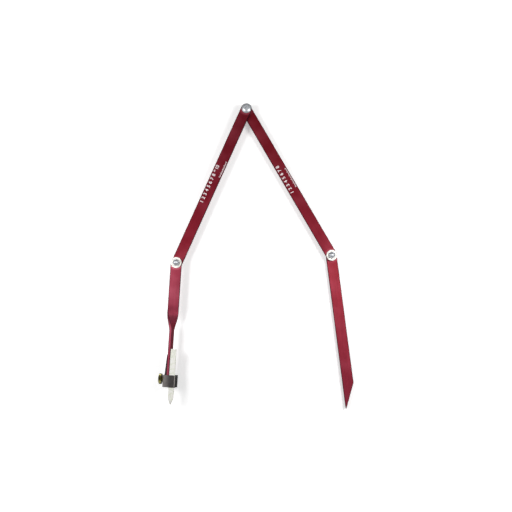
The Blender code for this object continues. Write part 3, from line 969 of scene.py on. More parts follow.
def tick_row_tree() -> GeometryTree:
    """A row of printed ticks along X, each fifth one longer, with Count, Pitch, Length, Width and Height."""
    made = GeometryTree(
        "printed_tick_row",
        {
            "Count": ("NodeSocketInt", 21),
            "Pitch": ("NodeSocketFloat", 2.0),
            "Length": ("NodeSocketFloat", 2.0),
            "Width": ("NodeSocketFloat", 1.0),
            "Height": ("NodeSocketFloat", 0.03),
        },
    )
    tree, given = made.tree, made.given
    step = add_node(tree, "ShaderNodeCombineXYZ", {"X": given["Pitch"]})
    row = add_node(tree, "GeometryNodeMeshLine", {"Count": given["Count"], "Offset": step}, mode="OFFSET")
    sides = {"X": given["Width"], "Y": given["Length"], "Z": given["Height"]}
    size = add_node(tree, "ShaderNodeCombineXYZ", sides)
    mark = add_node(tree, "GeometryNodeMeshCube", {"Size": size})
    # The cube is centred, so its half size raises its foot to the row
    raised = add_node(tree, "ShaderNodeVectorMath", {0: size, 1: (0.0, 0.5, 0.5)}, operation="MULTIPLY")
    seated = add_node(tree, "GeometryNodeTransform", {"Geometry": mark, "Translation": raised})
    index = add_node(tree, "GeometryNodeInputIndex")
    remainder = add_node(tree, "ShaderNodeMath", {0: index, 1: 5.0}, operation="MODULO")
    fifth = add_node(tree, "ShaderNodeMath", {0: remainder, 1: 0.5}, operation="LESS_THAN")
    longer = add_node(tree, "ShaderNodeMath", {0: fifth, 1: 0.5, 2: 1.0}, operation="MULTIPLY_ADD")
    scale = add_node(tree, "ShaderNodeCombineXYZ", {"X": 1.0, "Y": longer, "Z": 1.0})
    repeat = {"Points": row, "Instance": seated, "Scale": scale}
    made.close(add_node(tree, "GeometryNodeInstanceOnPoints", repeat))
    return made


def knurl_tree() -> GeometryTree:
    """Straight knurling: ridges parallel to Z all round a rim, with Count, Radius, Height and Depth."""
    made = GeometryTree(
        "straight_knurling",
        {
            "Count": ("NodeSocketInt", 72),
            "Radius": ("NodeSocketFloat", 12.0),
            "Height": ("NodeSocketFloat", 5.0),
            "Depth": ("NodeSocketFloat", 0.45),
        },
    )
    tree, given = made.tree, made.given
    circle = add_node(tree, "GeometryNodeMeshCircle", {"Vertices": given["Count"], "Radius": given["Radius"]})
    ridge = add_node(
        tree, "GeometryNodeMeshCylinder", {"Vertices": 4, "Radius": given["Depth"], "Depth": given["Height"]}
    )
    place = add_node(tree, "GeometryNodeInputPosition")
    turn = add_node(tree, "FunctionNodeAlignRotationToVector", {"Vector": place}, axis="X")
    repeat = {"Points": circle, "Instance": ridge, "Rotation": turn}
    made.close(add_node(tree, "GeometryNodeInstanceOnPoints", repeat))
    return made


def thread_tree() -> GeometryTree:
    """A screw thread: a ridge on a helix about Z, upwards from 0, with Radius, Pitch, Turns and Ridge."""
    made = GeometryTree(
        "screw_thread",
        {
            "Radius": ("NodeSocketFloat", 3.0),
            "Pitch": ("NodeSocketFloat", 1.27),
            "Turns": ("NodeSocketFloat", 5.0),
            "Ridge": ("NodeSocketFloat", 0.4),
        },
    )
    tree, given = made.tree, made.given
    height = add_node(tree, "ShaderNodeMath", {0: given["Pitch"], 1: given["Turns"]}, operation="MULTIPLY")
    helix = add_node(
        tree,
        "GeometryNodeCurveSpiral",
        {
            "Resolution": 32,
            "Rotations": given["Turns"],
            "Start Radius": given["Radius"],
            "End Radius": given["Radius"],
            "Height": height,
            "Reverse": True,
        },
    )
    upright = add_node(tree, "GeometryNodeSetCurveNormal", {0: helix}, mode="Z_UP")
    section = add_node(
        tree, "GeometryNodeCurvePrimitiveCircle", {"Resolution": 4, "Radius": given["Ridge"]}, mode="RADIUS"
    )
    sweep = {"Curve": upright, "Profile Curve": section, "Fill Caps": True}
    made.close(add_node(tree, "GeometryNodeCurveToMesh", sweep))
    return made


def twisted_bar_tree() -> GeometryTree:
    """Twists a straight bar about X between Flat and Flat + Twist, by Angle, half of it eased.

    Each vertex keeps its place on the straight bar, so that the metal's pattern follows the twist.
    """
    made = GeometryTree(
        "twisted_bar",
        {
            "Flat": ("NodeSocketFloat", 98.0),
            "Twist": ("NodeSocketFloat", 58.0),
            "Angle": ("NodeSocketFloat", math.radians(84.0)),
        },
    )
    tree, given = made.tree, made.given
    place = add_node(tree, "GeometryNodeInputPosition")
    kept = add_node(
        tree,
        "GeometryNodeStoreNamedAttribute",
        {"Geometry": given["Shape"], "Name": PLACE_NAME, "Value": place},
        data_type="FLOAT_VECTOR",
        domain="POINT",
    )
    axes = add_node(tree, "ShaderNodeSeparateXYZ", {0: place})
    end = add_node(tree, "ShaderNodeMath", {0: given["Flat"], 1: given["Twist"]}, operation="ADD")
    span = {"Value": axes.outputs["X"], "From Min": given["Flat"], "From Max": end, "To Max": given["Angle"]}
    even = add_node(tree, "ShaderNodeMapRange", span, interpolation_type="LINEAR")
    smooth = add_node(tree, "ShaderNodeMapRange", span, interpolation_type="SMOOTHSTEP")
    both = add_node(tree, "ShaderNodeMath", {0: even, 1: smooth}, operation="ADD")
    turn = add_node(tree, "ShaderNodeMath", {0: both, 1: -0.5}, operation="MULTIPLY")
    turned = add_node(
        tree, "ShaderNodeVectorRotate", {"Vector": place, "Angle": turn}, rotation_type="X_AXIS"
    )
    made.close(add_node(tree, "GeometryNodeSetPosition", {"Geometry": kept, "Position": turned}))
    return made


@dataclass
class Workshop:
    """Places finished meshes: applies their place, dresses them, and hands them to their bodies.

    Attributes:
        ticks: The tree that repeats printed ticks.
        knurling: The tree that repeats knurl ridges.
        thread: The tree that winds a thread.
        twisting: The tree that twists a bar.
        placed: The names of the pieces handed over so far.
    """

    ticks: GeometryTree = field(default_factory=tick_row_tree)
    knurling: GeometryTree = field(default_factory=knurl_tree)
    thread: GeometryTree = field(default_factory=thread_tree)
    twisting: GeometryTree = field(default_factory=twisted_bar_tree)
    placed: list[str] = field(default_factory=list)

    def wound(
        self, core: float, depth: float, pitch: float, bottom: float, top: float, finish: Finish
    ) -> bpy.types.Object:
        """Winds a thread's ridge round a shank.

        Args:
            core: The thread's inner radius.
            depth: How far its ridge stands out.
            pitch: Its pitch.
            bottom: Where the ridge starts.
            top: Where it ends.
            finish: What it is made of.

        Returns:
            The ridge, sunk a little into the shank.
        """
        values = {"Radius": core - THREAD_SINK, "Pitch": pitch, "Turns": (top - bottom) / pitch}
        values |= {"Ridge": depth, "Material": finish.material()}
        ridge = self.thread.run(loose_object("thread", bmesh.new()), values)
        ridge.data.transform(Matrix.Translation((0.0, 0.0, bottom)))
        return ridge

    def place(
        self,
        made: bpy.types.Object,
        where: Matrix,
        finish: Finish,
        body: str,
        slot: str,
        stands_for: str | None = None,
    ) -> None:
        """Finishes a piece: its modifiers are applied, and its place goes into its mesh.

        Args:
            made: The piece, in millimetres, in its own frame.
            where: That frame in the row frame, in metres.
            finish: What it is made of.
            body: The CAD body that it rides on.
            slot: The record's material slot; it is not used.
            stands_for: The CAD node that it replaces, if any.
        """
        shading = made.modifiers.new("even_faces", "WEIGHTED_NORMAL")
        shading.keep_sharp = True
        settle(made)
        mesh = made.data
        if PLACE_NAME not in mesh.attributes:
            spots = mesh.attributes.new(PLACE_NAME, "FLOAT_VECTOR", "POINT")
            for vertex, spot in zip(mesh.vertices, spots.data):
                spot.vector = vertex.co
        mesh.transform(where @ Matrix.Scale(MM, 4))
        mesh.materials.clear()
        mesh.materials.append(finish.material())
        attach(made, body)
        if stands_for:
            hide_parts(stands_for)
        self.placed.append(made.name)
        log.info("%s: %d faces, on %s", made.name, len(mesh.polygons), body)


# The tool's own sizes and parts


@dataclass(frozen=True)
class Layout:
    """The open pose and the heights of the bars' mid-planes, as in the CAD model.

    Attributes:
        upper_mm: The upper arms' length between pivots.
        upper_left_lean: The upper left arm's lean from straight down, in degrees.
        upper_right_lean: The upper right arm's lean.
        holder_lean: The holder leg's lean.
        point_lean: The point leg's lean.
        point_level: The height of the point leg's mid-plane, in millimetres.
        upper_right_level: The upper right arm's.
        upper_left_level: The upper left arm's.
        holder_level: The holder leg's.
        gap_mm: The room between pieces that touch.
    """

    upper_mm: float = 406.4
    upper_left_lean: float = 23.5
    upper_right_lean: float = 29.6
    holder_lean: float = 3.0
    point_lean: float = 6.7
    point_level: float = 7.875
    upper_right_level: float = 16.825
    upper_left_level: float = 25.775
    holder_level: float = 34.725
    gap_mm: float = 0.3

    def frame(self, origin: Vector, heading: float, level: float) -> Matrix:
        """A bar's frame: its X runs along the bar from the pivot.

        Args:
            origin: The pivot, in millimetres.
            heading: The bar's direction, in degrees anticlockwise from +X.
            level: The height of the frame's origin, in millimetres.

        Returns:
            The frame, in metres.
        """
        spot = Vector((origin.x, origin.y, level)) * MM
        return Matrix.Translation(spot) @ Matrix.Rotation(math.radians(heading), 4, "Z")

    def elbow(self, heading: float) -> Vector:
        """Where an upper arm's far pivot is, in millimetres."""
        angle = math.radians(heading)
        return Vector((math.cos(angle), math.sin(angle), 0.0)) * self.upper_mm

    @property
    def left_heading(self) -> float:
        """The upper left arm's direction in degrees."""
        return -90.0 - self.upper_left_lean

    @property
    def right_heading(self) -> float:
        """The upper right arm's direction in degrees."""
        return -90.0 + self.upper_right_lean

    @property
    def holder_heading(self) -> float:
        """The holder leg's direction in degrees."""
        return -90.0 - self.holder_lean

    @property
    def point_heading(self) -> float:
        """The point leg's direction in degrees."""
        return -90.0 + self.point_lean


class Side(Enum):
    """The two sides of the tool, by the names that its pieces carry."""

    LEFT = "left"
    RIGHT = "right"


@dataclass(frozen=True)
class TwistedLeg:
    """The holder leg's lengths from its pivot: flat, then twisted, then a blade on edge.

    Attributes:
        flat: The flat length from the pivot.
        twist: The length of the twist.
        blade: The length that stands on edge.
        angle: How far it is twisted, in radians.
        twist_steps: How many sections the twist has.
    """

    flat: float = 98.0
    twist: float = 58.0
    blade: float = 127.0
    angle: float = math.radians(84.0)
    twist_steps: int = 64

    @property
    def length(self) -> float:
        """The leg's length from its pivot."""
        return self.flat + self.twist + self.blade


@dataclass
class BarStock:
    """Flat bar, and the shapes that are cut from it.

    Attributes:
        width: The bar's width.
        thickness: Its thickness.
        edge: The radius of its drawn edges.
        end_steps: How many chords a round end has.
        hole_steps: How many chords a round hole has.
    """

    width: float = 25.4
    thickness: float = 6.35
    edge: float = 0.5
    end_steps: int = 48
    hole_steps: int = 64

    def arm_outline(self, length: float) -> list[Point]:
        """A bar with a round end about each of its two pivots."""
        radius = self.width / 2
        return arc((length, 0.0), radius, -math.pi / 2, math.pi / 2, self.end_steps) + arc(
            (0.0, 0.0), radius, math.pi / 2, 3 * math.pi / 2, self.end_steps
        )

    def point_outline(self, length: float, bevel: float, blunt: float) -> list[Point]:
        """A bar with a round end at its pivot, and a slant cut to a point on its inner edge.

        Args:
            length: The point's distance from the pivot.
            bevel: How long the slant cut is.
            blunt: How wide the point is left.

        Returns:
            The bar seen from above.
        """
        half = self.width / 2
        near = arc((0.0, 0.0), half, math.pi / 2, 3 * math.pi / 2, self.end_steps)
        return near + [(length, -half), (length, -half + blunt), (length - bevel, half)]

    def cut_bar(
        self, name: str, outline: Sequence[Point], holes: Sequence[tuple[float, float, bool]]
    ) -> bpy.types.Object:
        """Makes a bar with rounded edges and its bolt holes.

        Args:
            name: The piece's name.
            outline: The bar seen from above.
            holes: Each hole as its place along the bar, its width, and whether it is square.

        Returns:
            The bar, centred on its mid-plane.
        """
        half = self.thickness / 2
        bar = loose_object(name, prism(outline, -half, half))
        eased(bar, self.edge)
        settle(bar)
        for along, width, square in holes:
            self.drill(bar, along, width, square)
        return bar

    def drill(self, bar: bpy.types.Object, along: float, width: float, square: bool) -> None:
        """Cuts one hole through a bar.

        Args:
            bar: The bar.
            along: The hole's place along it.
            width: Its diameter, or its side.
            square: Whether it is square.
        """
        corner = width / 2
        outline = arc((0.0, 0.0), corner, 0.0, 2 * math.pi, self.hole_steps)[:-1]
        if square:
            outline = rectangle(-corner, corner, -corner, corner, 0.0)
        past = self.thickness
        cut(bar, loose_object("hole", prism([(x + along, y) for x, y in outline], -past, past)))


@dataclass
class PivotHardware:
    """A carriage bolt with its washers and its nut, the same size at all three pivots.

    Attributes:
        shop: What finishes and places the pieces.
        layout: The bars' places and levels.
        zinc: The bolts' and nuts' plating.
        pale_zinc: The washers' plating, painted paler than the bolts' as a painted reflection on their flat
            faces.
        nylon: What the friction washers and the lock ring are made of.
        shank: The bolt's diameter.
        head: The head's diameter.
        head_height: The head's height.
        rim: The height of the head's upright rim.
        land: The diameter of the flat on top of the head.
        neck: The side of the square neck.
        neck_height: Its height.
        pitch: The thread's pitch.
        washer: The steel washer's diameter.
        washer_thickness: Its thickness.
        washer_bore: The hole through every washer.
        friction: The nylon washer's diameter.
        friction_thickness: Its thickness.
        flats: The nuts' width across flats.
        cap_hex: How high the cap nut's hexagon is.
        cap_height: The cap nut's height.
        cap_dome: The dome's diameter at its foot.
        cap_bore_depth: How deep the blind bore goes.
        lock_hex: How high the lock nut's hexagon is.
        lock_height: The lock nut's height.
        lock_collar: The diameter of its collar.
        lead_in: The chamfer at the mouth of a nut's bore.
        past_bolt: The room between a cap nut's bore and its bolt's end.
        collar_wall: How thick the lock nut's collar is round the ring.
        lip: How thick the collar is past the ring.
        corner_cut: How much of the height between corner and flat the nuts' chamfer takes.
        thread_depth: How deep the bolt's thread is.
        run_out: The least plain shank above the neck, before the thread.
        thread_slope: How far the shank tapers into the thread.
        tip_length: How long the bolt's tapered tip is.
        tip_taper: How much smaller the tip's radius ends.
        neck_corner: The radius of the neck's four corners.
        neck_edge: The width of its other edges' rounding.
        foot: How far the head's edge is eased under the rim.
        dome_steps: How many chords a dome has.
        edge: The radius of a stamped washer's edges.
        soft_edge: The radius of a nylon washer's edges.
    """

    shop: Workshop
    layout: Layout
    zinc: ZincPlatedSteel
    pale_zinc: ZincPlatedSteel
    nylon: Nylon
    shank: float = 9.5
    head: float = 23.6
    head_height: float = 4.4
    rim: float = 0.9
    land: float = 11.0
    neck: float = 10.0
    neck_height: float = 4.8
    pitch: float = 1.59
    washer: float = 25.4
    washer_thickness: float = 1.6
    washer_bore: float = 11.1
    friction: float = 22.0
    friction_thickness: float = 2.0
    flats: float = 14.3
    cap_hex: float = 4.6
    cap_height: float = 8.6
    cap_dome: float = 13.2
    cap_bore_depth: float = 5.5
    lock_hex: float = 5.4
    lock_height: float = 8.6
    lock_collar: float = 13.6
    lead_in: float = 0.5
    past_bolt: float = 0.5
    collar_wall: float = 0.6
    lip: float = 0.5
    corner_cut: float = 0.7
    thread_depth: float = 0.42
    run_out: float = 3.0
    thread_slope: float = 0.6
    tip_length: float = 0.9
    tip_taper: float = 0.7
    neck_corner: float = 0.6
    neck_edge: float = 0.3
    foot: float = 0.25
    dome_steps: int = 14
    edge: float = 0.35
    soft_edge: float = 0.2

    @property
    def corner(self) -> float:
        """How far a nut's corners are from its axis."""
        return self.flats / math.sqrt(3)

    @property
    def bore(self) -> float:
        """The radius of a nut's bore."""
        return self.shank / 2 + self.layout.gap_mm

    def chamfered(self, height: float) -> list[Point]:
        """The outside of a turned nut blank, with both ends chamfered.

        Args:
            height: How high it is above its seat at 0.

        Returns:
            Points of (radius, height), from the seat up.
        """
        cut_off = (self.corner - self.flats / 2) * self.corner_cut
        flat = self.flats / 2
        return [(flat, 0.0), (self.corner, cut_off), (self.corner, height - cut_off), (flat, height)]

    def dome(self, base: float, low: float, land: float, high: float) -> list[Point]:
        """The side of a spherical dome.

        Args:
            base: Its radius at the foot.
            low: The foot's height.
            land: Its radius at the top.
            high: The top's height.

        Returns:
            Points of (radius, height), from the foot up.
        """
        rise = high - low
        middle = low + (rise**2 + land**2 - base**2) / (2 * rise)
        ball = math.hypot(base, low - middle)
        foot, brow = math.atan2(low - middle, base), math.atan2(high - middle, land)
        return arc((0.0, middle), ball, foot, brow, self.dome_steps)

    def bolt(self, name: str, where: Matrix, length: float, body: str) -> None:
        """A bolt whose bearing face is at height 0, with its shank upwards.

        Args:
            name: The CAD node that it stands for.
            where: The bolt's frame.
            length: The shank's length.
            body: The body that it rides on.
        """
        radius = self.shank / 2
        core = radius - self.thread_depth
        side = self.dome(self.head / 2, self.rim, self.land / 2, self.head_height)
        # The thread starts at 0.4 of a short shank, where the neck leaves less plain shank than run_out
        thread_from = min(self.neck_height + self.run_out, length * 0.4)
        profile = [
            (0.0, -self.head_height),
            (self.land / 4, -self.head_height),
            *((x, -z) for x, z in reversed(side)),
            (self.head / 2, -self.rim * 0.3),
            (self.head / 2 - self.foot, 0.0),
            (radius, 0.0),
            (radius, thread_from),
            (core, thread_from + self.thread_slope),
            (core, length - self.tip_length),
            (core - self.tip_taper, length),
            (0.0, length),
        ]
        made = loose_object(name + "_detailed", lathe(profile), TURNED_SHARP)
        half = self.neck / 2
        square = rectangle(-half, half, -half, half, self.neck_corner)
        neck = loose_object("neck", prism(square, -self.rim / 2, self.neck_height))
        eased(neck, self.neck_edge, 2)
        settle(neck)
        first, last = thread_from + self.thread_slope + 0.1, length - self.tip_length
        ridge = self.shop.wound(core, self.thread_depth, self.pitch, first, last, self.zinc)
        joined(made, [neck, ridge])
        self.shop.place(made, where, self.zinc, body, name + "_finish", name)

    def ring(
        self, name: str, where: Matrix, outer: float, thickness: float, finish: Finish, body: str, edge: float
    ) -> None:
        """A flat washer with rolled-over edges, its lower face at height 0.

        Args:
            name: The CAD node that it stands for.
            where: The washer's frame.
            outer: Its diameter.
            thickness: Its thickness.
            finish: What it is made of.
            body: The body that it rides on.
            edge: The radius of its edges.
        """
        inner = self.washer_bore / 2
        under = edge / 2
        corners = [(inner, 0.0, under), (outer / 2, 0.0, under)]
        corners += [(outer / 2, thickness, edge), (inner, thickness, edge)]
        made = loose_object(name + "_detailed", lathe(filleted(corners, 3), ring=True), TURNED_SHARP)
        self.shop.place(made, where, finish, body, name + "_finish", name)

    def hexagon(self, bottom: float, top: float) -> bpy.types.Object:
        """A hexagonal block that trims a turned nut blank."""
        outline = arc((0.0, 0.0), self.corner, 0.0, 2 * math.pi, 6)[:-1]
        return loose_object("hexagon", prism(outline, bottom, top))

    def cap_nut(self, name: str, where: Matrix, body: str) -> None:
        """A low domed nut with a blind bore, its seat at height 0.

        Args:
            name: The CAD node that it stands for.
            where: The nut's frame.
            body: The body that it rides on.
        """
        profile = [
            (0.0, self.cap_bore_depth),
            (self.bore, self.cap_bore_depth),
            (self.bore, self.lead_in),
            (self.bore + self.lead_in, 0.0),
            *self.chamfered(self.cap_hex),
            *self.dome(self.cap_dome / 2, self.cap_hex, 0.0, self.cap_height)[:-1],
            (0.0, self.cap_height),
        ]
        made = loose_object(name + "_detailed", lathe(profile), TURNED_SHARP)
        cut(made, self.hexagon(-1.0, self.cap_height + 1.0), "INTERSECT")
        made.data.set_sharp_from_angle(angle=math.radians(TURNED_SHARP))
        self.shop.place(made, where, self.zinc, body, name + "_finish", name)

    def lock_nut(self, name: str, where: Matrix, body: str) -> None:
        """A hexagon nut below its seat at height 0, with a collar that traps a nylon ring.

        Args:
            name: The CAD node that it stands for.
            where: The nut's frame.
            body: The body that it rides on.
        """
        bore = self.bore
        collar = self.lock_collar / 2
        groove = collar - self.collar_wall
        lip = self.lock_height - self.lip
        mouth = groove - self.lip
        outside = [
            (bore, self.lead_in, 0.0),
            (bore + self.lead_in, 0.0, 0.0),
            *((*spot, 0.0) for spot in self.chamfered(self.lock_hex)[:-1]),
            (collar, self.lock_hex, 0.0),
            (collar, self.lock_height, 0.5),
            (mouth, self.lock_height, 0.15),
            (mouth, lip, 0.0),
            (groove, lip, 0.0),
            (groove, self.lock_hex, 0.0),
            (bore, self.lock_hex, 0.0),
        ]
        profile = [(x, -z) for x, z in filleted(outside)]
        made = loose_object(name + "_detailed", lathe(profile, ring=True), TURNED_SHARP)
        cut(made, self.hexagon(-self.lock_height - 1.0, 1.0), "INTERSECT")
        made.data.set_sharp_from_angle(angle=math.radians(TURNED_SHARP))
        self.shop.place(made, where, self.zinc, body, name + "_finish", name)

        gap = self.layout.gap_mm
        corners = [
            (bore, -lip + gap, 0.2),
            (groove - gap, -lip + gap, 0.2),
            (groove - gap, -self.lock_hex - gap, 0.1),
            (bore, -self.lock_hex - gap, 0.1),
        ]
        insert = loose_object(name + "_insert_detailed", lathe(filleted(corners, 3), ring=True), TURNED_SHARP)
        self.shop.place(insert, where, self.nylon, body, name + "_insert_finish", name + "_insert")

    def at(self, spot: Vector, height: float, heading: float, head_up: bool = False) -> Matrix:
        """A frame on a pivot's axis.

        Args:
            spot: The pivot, in millimetres.
            height: The frame's height, in millimetres.
            heading: The direction of its X, in degrees.
            head_up: Whether the frame's Z points down, as for a bolt whose head is on top.

        Returns:
            The frame, in metres.
        """
        upright = self.layout.frame(spot, heading, height)
        return upright @ Matrix.Rotation(math.pi, 4, "X") if head_up else upright

    def apex(self) -> None:
        """The apex: head up, nylon washer between the arms, washer and lock nut below."""
        lay = self.layout
        half = BarStock.thickness / 2
        origin = Vector((0.0, 0.0, 0.0))
        bearing = lay.upper_left_level + half + lay.gap_mm
        self.bolt("apex_bolt", self.at(origin, bearing, lay.left_heading, True), bearing, "upper_left")
        between = lay.upper_right_level + half + lay.gap_mm
        self.ring(
            "apex_friction_washer", self.at(origin, between, 0.0), self.friction, self.friction_thickness,
            self.nylon, "upper_right", self.soft_edge,
        )
        under = lay.upper_right_level - half - lay.gap_mm - self.washer_thickness
        self.ring(
            "apex_washer", self.at(origin, under, 10.0), self.washer, self.washer_thickness,
            self.pale_zinc, "upper_left", self.edge,
        )
        self.lock_nut("apex_lock_nut", self.at(origin, under - lay.gap_mm, lay.left_heading), "upper_left")

    def elbow(self, side: Side, spot: Vector, level: float, heading: float, lower: str, upper: str) -> None:
        """An elbow: head down, nylon washer between the bars, washer and cap nut on top.

        Args:
            side: Which elbow it is.
            spot: The pivot, in millimetres.
            level: The lower bar's mid-plane.
            heading: The direction of the bar that holds the bolt's neck.
            lower: The body of that bar.
            upper: The body of the other bar.
        """
        lay = self.layout
        half = BarStock.thickness / 2
        bearing = level - half - lay.gap_mm
        between = level + half + lay.gap_mm
        face = between + self.friction_thickness + lay.gap_mm + BarStock.thickness
        seat = face + lay.gap_mm + self.washer_thickness + lay.gap_mm
        bolt_end = seat + self.cap_bore_depth - self.past_bolt
        name = side.value + "_elbow"
        self.bolt(name + "_bolt", self.at(spot, bearing, heading), bolt_end - bearing, lower)
        self.ring(
            name + "_friction_washer", self.at(spot, between, 20.0), self.friction,
            self.friction_thickness, self.nylon, upper, self.soft_edge,
        )
        self.ring(
            name + "_washer", self.at(spot, face + lay.gap_mm, 30.0), self.washer,
            self.washer_thickness, self.pale_zinc, lower, self.edge,
        )
        self.cap_nut(name + "_cap_nut", self.at(spot, seat, heading), lower)


@dataclass
class PrintedScale:
    """Plain ticks and numbers in white ink, where such tools carry a printed line.

    The row reads towards the apex, with the tops of its figures towards the arm's -Y side.

    Attributes:
        shop: What finishes and places the pieces.
        ink: What it is printed in.
        numbers: How many numbers it has, from 1.
        first: The first number's place along the arm.
        pitch: How far apart the numbers are.
        figure: The height of the numbers.
        foot: How far below the arm's centre line their feet stand.
        tick_count: How many ticks it has.
        tick_first: The first tick's place along the arm.
        tick_pitch: How far apart the ticks are.
        tick_length: The length of a short tick.
        tick_foot: How far above the arm's centre line the ticks' feet stand.
        ink_height: How thick the ink lies.
        boldness: How far the figures' outlines are moved outwards.
        face_height: How high a figure of the built-in face is, as a share of its size.
    """

    shop: Workshop
    ink: ScreenInk
    numbers: int
    first: float
    tick_count: int
    tick_first: float
    pitch: float = 10.0
    figure: float = 7.6
    foot: float = 2.2
    tick_pitch: float = 2.0
    tick_length: float = 2.6
    tick_foot: float = 10.8
    ink_height: float = 0.03
    boldness: float = 0.28
    face_height: float = 0.7

    def figure_mesh(self, number: int) -> bpy.types.Object:
        """Writes one number as a mesh, a little bolder than the plain face.

        Args:
            number: The number.

        Returns:
            The number's object, with its foot at its place in the row.
        """
        text = bpy.data.curves.new("figure", "FONT")
        text.body = str(number)
        text.size = self.figure / self.face_height
        text.align_x = "CENTER"
        text.offset = self.boldness
        text.extrude = self.ink_height / 2
        made = bpy.data.objects.new("figure", text)
        bpy.context.scene.collection.objects.link(made)
        graph = bpy.context.evaluated_depsgraph_get()
        graph.update()
        mesh = bpy.data.meshes.new_from_object(made.evaluated_get(graph))
        bpy.data.objects.remove(made, do_unlink=True)
        mesh.transform(Matrix.Translation(((number - 1) * self.pitch, 0.0, self.ink_height / 2)))
        made = bpy.data.objects.new("figure", mesh)
        bpy.context.scene.collection.objects.link(made)
        return made

    def build(self, name: str, where: Matrix, body: str, slot: str) -> None:
        """Prints the row on an arm's upper face.

        Args:
            name: The piece's name.
            where: The arm's frame.
            body: The body that it rides on.
            slot: The arm's material slot.
        """
        about = Matrix.Rotation(math.pi, 4, "Z")
        row = loose_object(name, bmesh.new())
        self.shop.ticks.run(
            row,
            {
                "Count": self.tick_count,
                "Pitch": self.tick_pitch,
                "Length": self.tick_length,
                "Height": self.ink_height,
                "Material": self.ink.material(),
            },
        )
        top = BarStock.thickness / 2
        row.data.transform(Matrix.Translation((self.tick_first, self.tick_foot, top)) @ about)
        figures = [self.figure_mesh(number) for number in range(1, self.numbers + 1)]
        for shown in figures:
            shown.data.transform(Matrix.Translation((self.first, -self.foot, top)) @ about)
        joined(row, figures)
        self.shop.place(row, where, self.ink, body, slot)


@dataclass
class FoldingFrame:
    """The four bars, and the printing on the upper two.

    Attributes:
        shop: What finishes and places the pieces.
        layout: The bars' places and levels.
        stock: The bar that they are cut from.
        leg: The twisted leg's lengths.
        point_length: The point leg's length from its pivot.
        point_bevel: How long its slant cut is.
        point_blunt: How wide its point is left.
        square_hole: The side of the hole for a bolt's neck.
        round_hole: The diameter of the hole for a bolt's shank.
    """

    shop: Workshop
    layout: Layout
    stock: BarStock
    leg: TwistedLeg
    point_length: float = 355.6
    point_bevel: float = 57.0
    point_blunt: float = 1.2
    square_hole: float = 10.6
    round_hole: float = 10.1

    def upper_arms(self) -> None:
        """The two upper arms and their printed scales."""
        lay = self.layout
        far = lay.upper_mm
        ink = ScreenInk("white_screen_ink")
        # For each arm its heading and level, its holes' width and whether they are square
        cuts = {
            Side.LEFT: (lay.left_heading, lay.upper_left_level, self.square_hole, True),
            Side.RIGHT: (lay.right_heading, lay.upper_right_level, self.round_hole, False),
        }
        # Each arm's red at its pivot and at its far end, with painted sheen: lighter or darker than the other
        # bars'
        dyes_and_sheen = {Side.LEFT: ("#5c141c", "#6a1823"), Side.RIGHT: ("#62121a", "#6c1d27")}
        scales = {
            Side.LEFT: PrintedScale(self.shop, ink, 10, 250.0, 21, 180.0),
            Side.RIGHT: PrintedScale(self.shop, ink, 8, 230.0, 26, 222.0),
        }
        for side in Side:
            heading, level, hole, square = cuts[side]
            body = f"upper_{side.value}"
            node = body + "_arm"
            where = lay.frame(Vector((0.0, 0.0, 0.0)), heading, level)
            holes = [(0.0, hole, square), (far, hole, square)]
            arm = self.stock.cut_bar(node + "_detailed", self.stock.arm_outline(far), holes)
            dyed = AnodisedAluminium(f"red_anodised_{node}", *dyes_and_sheen[side], length_mm=far, pivots_mm=(0.0, far))
            self.shop.place(arm, where, dyed, body, node + "_finish", node)
            scales[side].build(body + "_scale", where, body, node + "_finish")

    def point_leg(self) -> None:
        """The lower leg with the scribing point."""
        lay = self.layout
        half = self.stock.width / 2
        rise = self.stock.width - self.point_blunt
        slope = math.hypot(rise, self.point_bevel)
        outward = (rise / slope, self.point_bevel / slope)
        reach = outward[0] * self.point_length + outward[1] * (self.point_blunt - half)
        # The point leg's red, with painted sheen along it and against the other bars
        dyed = AnodisedAluminium(
            "red_anodised_point_leg", "#7d2730", "#691e2b", rubbed="#b25568",
            length_mm=self.point_length, slant=(*outward, reach),
        )
        outline = self.stock.point_outline(self.point_length, self.point_bevel, self.point_blunt)
        leg = self.stock.cut_bar("point_leg_detailed", outline, [(0.0, self.square_hole, True)])
        where = lay.frame(lay.elbow(lay.right_heading), lay.point_heading, lay.point_level)
        self.shop.place(leg, where, dyed, "point_leg", "point_leg_finish", "point_leg")

    def holder_leg(self) -> None:
        """The lower leg with the twist: a straight bar with a round end, which the tree then twists."""
        lay = self.layout
        leg = self.leg
        half = self.stock.width / 2
        thick = self.stock.thickness / 2
        edge = self.stock.edge
        steps = self.stock.end_steps // 2
        turns = [(step + 0.5) / steps * math.pi / 2 for step in range(steps)]
        stations = [(-half * math.cos(turn), half * math.sin(turn)) for turn in turns]
        stations += [(0.0, half), (leg.flat - 2.0, half)]
        pitch = leg.twist / leg.twist_steps
        stations += [(leg.flat + pitch * step, half) for step in range(leg.twist_steps + 1)]
        stations.append((leg.length - edge, half))
        sections = []
        for along, wide in stations:
            outline = rectangle(-wide, wide, -thick, thick, min(edge, wide * 0.6), 3)
            sections.append([Vector((along, y, z)) for y, z in outline])
        # The blade's end is eased: its last section is smaller by the edge's radius all round
        wide, deep = 1 - edge / half, 1 - edge / thick
        sections.append([Vector((leg.length, spot.y * wide, spot.z * deep)) for spot in sections[-1]])
        made = loose_object("holder_leg_detailed", lofted(sections))
        self.stock.drill(made, 0.0, self.round_hole, False)
        # The holder leg's red, with painted sheen along it and against the other bars
        dyed = AnodisedAluminium(
            "red_anodised_holder_leg", "#7d2e3c", "#6c2a38", rubbed="#bd6c7c", length_mm=leg.length
        )
        self.shop.twisting.run(
            made,
            {"Flat": leg.flat, "Twist": leg.twist, "Angle": leg.angle, "Material": dyed.material()},
        )
        where = lay.frame(lay.elbow(lay.left_heading), lay.holder_heading, lay.holder_level)
        self.shop.place(made, where, dyed, "holder_leg", "holder_leg_finish", "holder_leg")


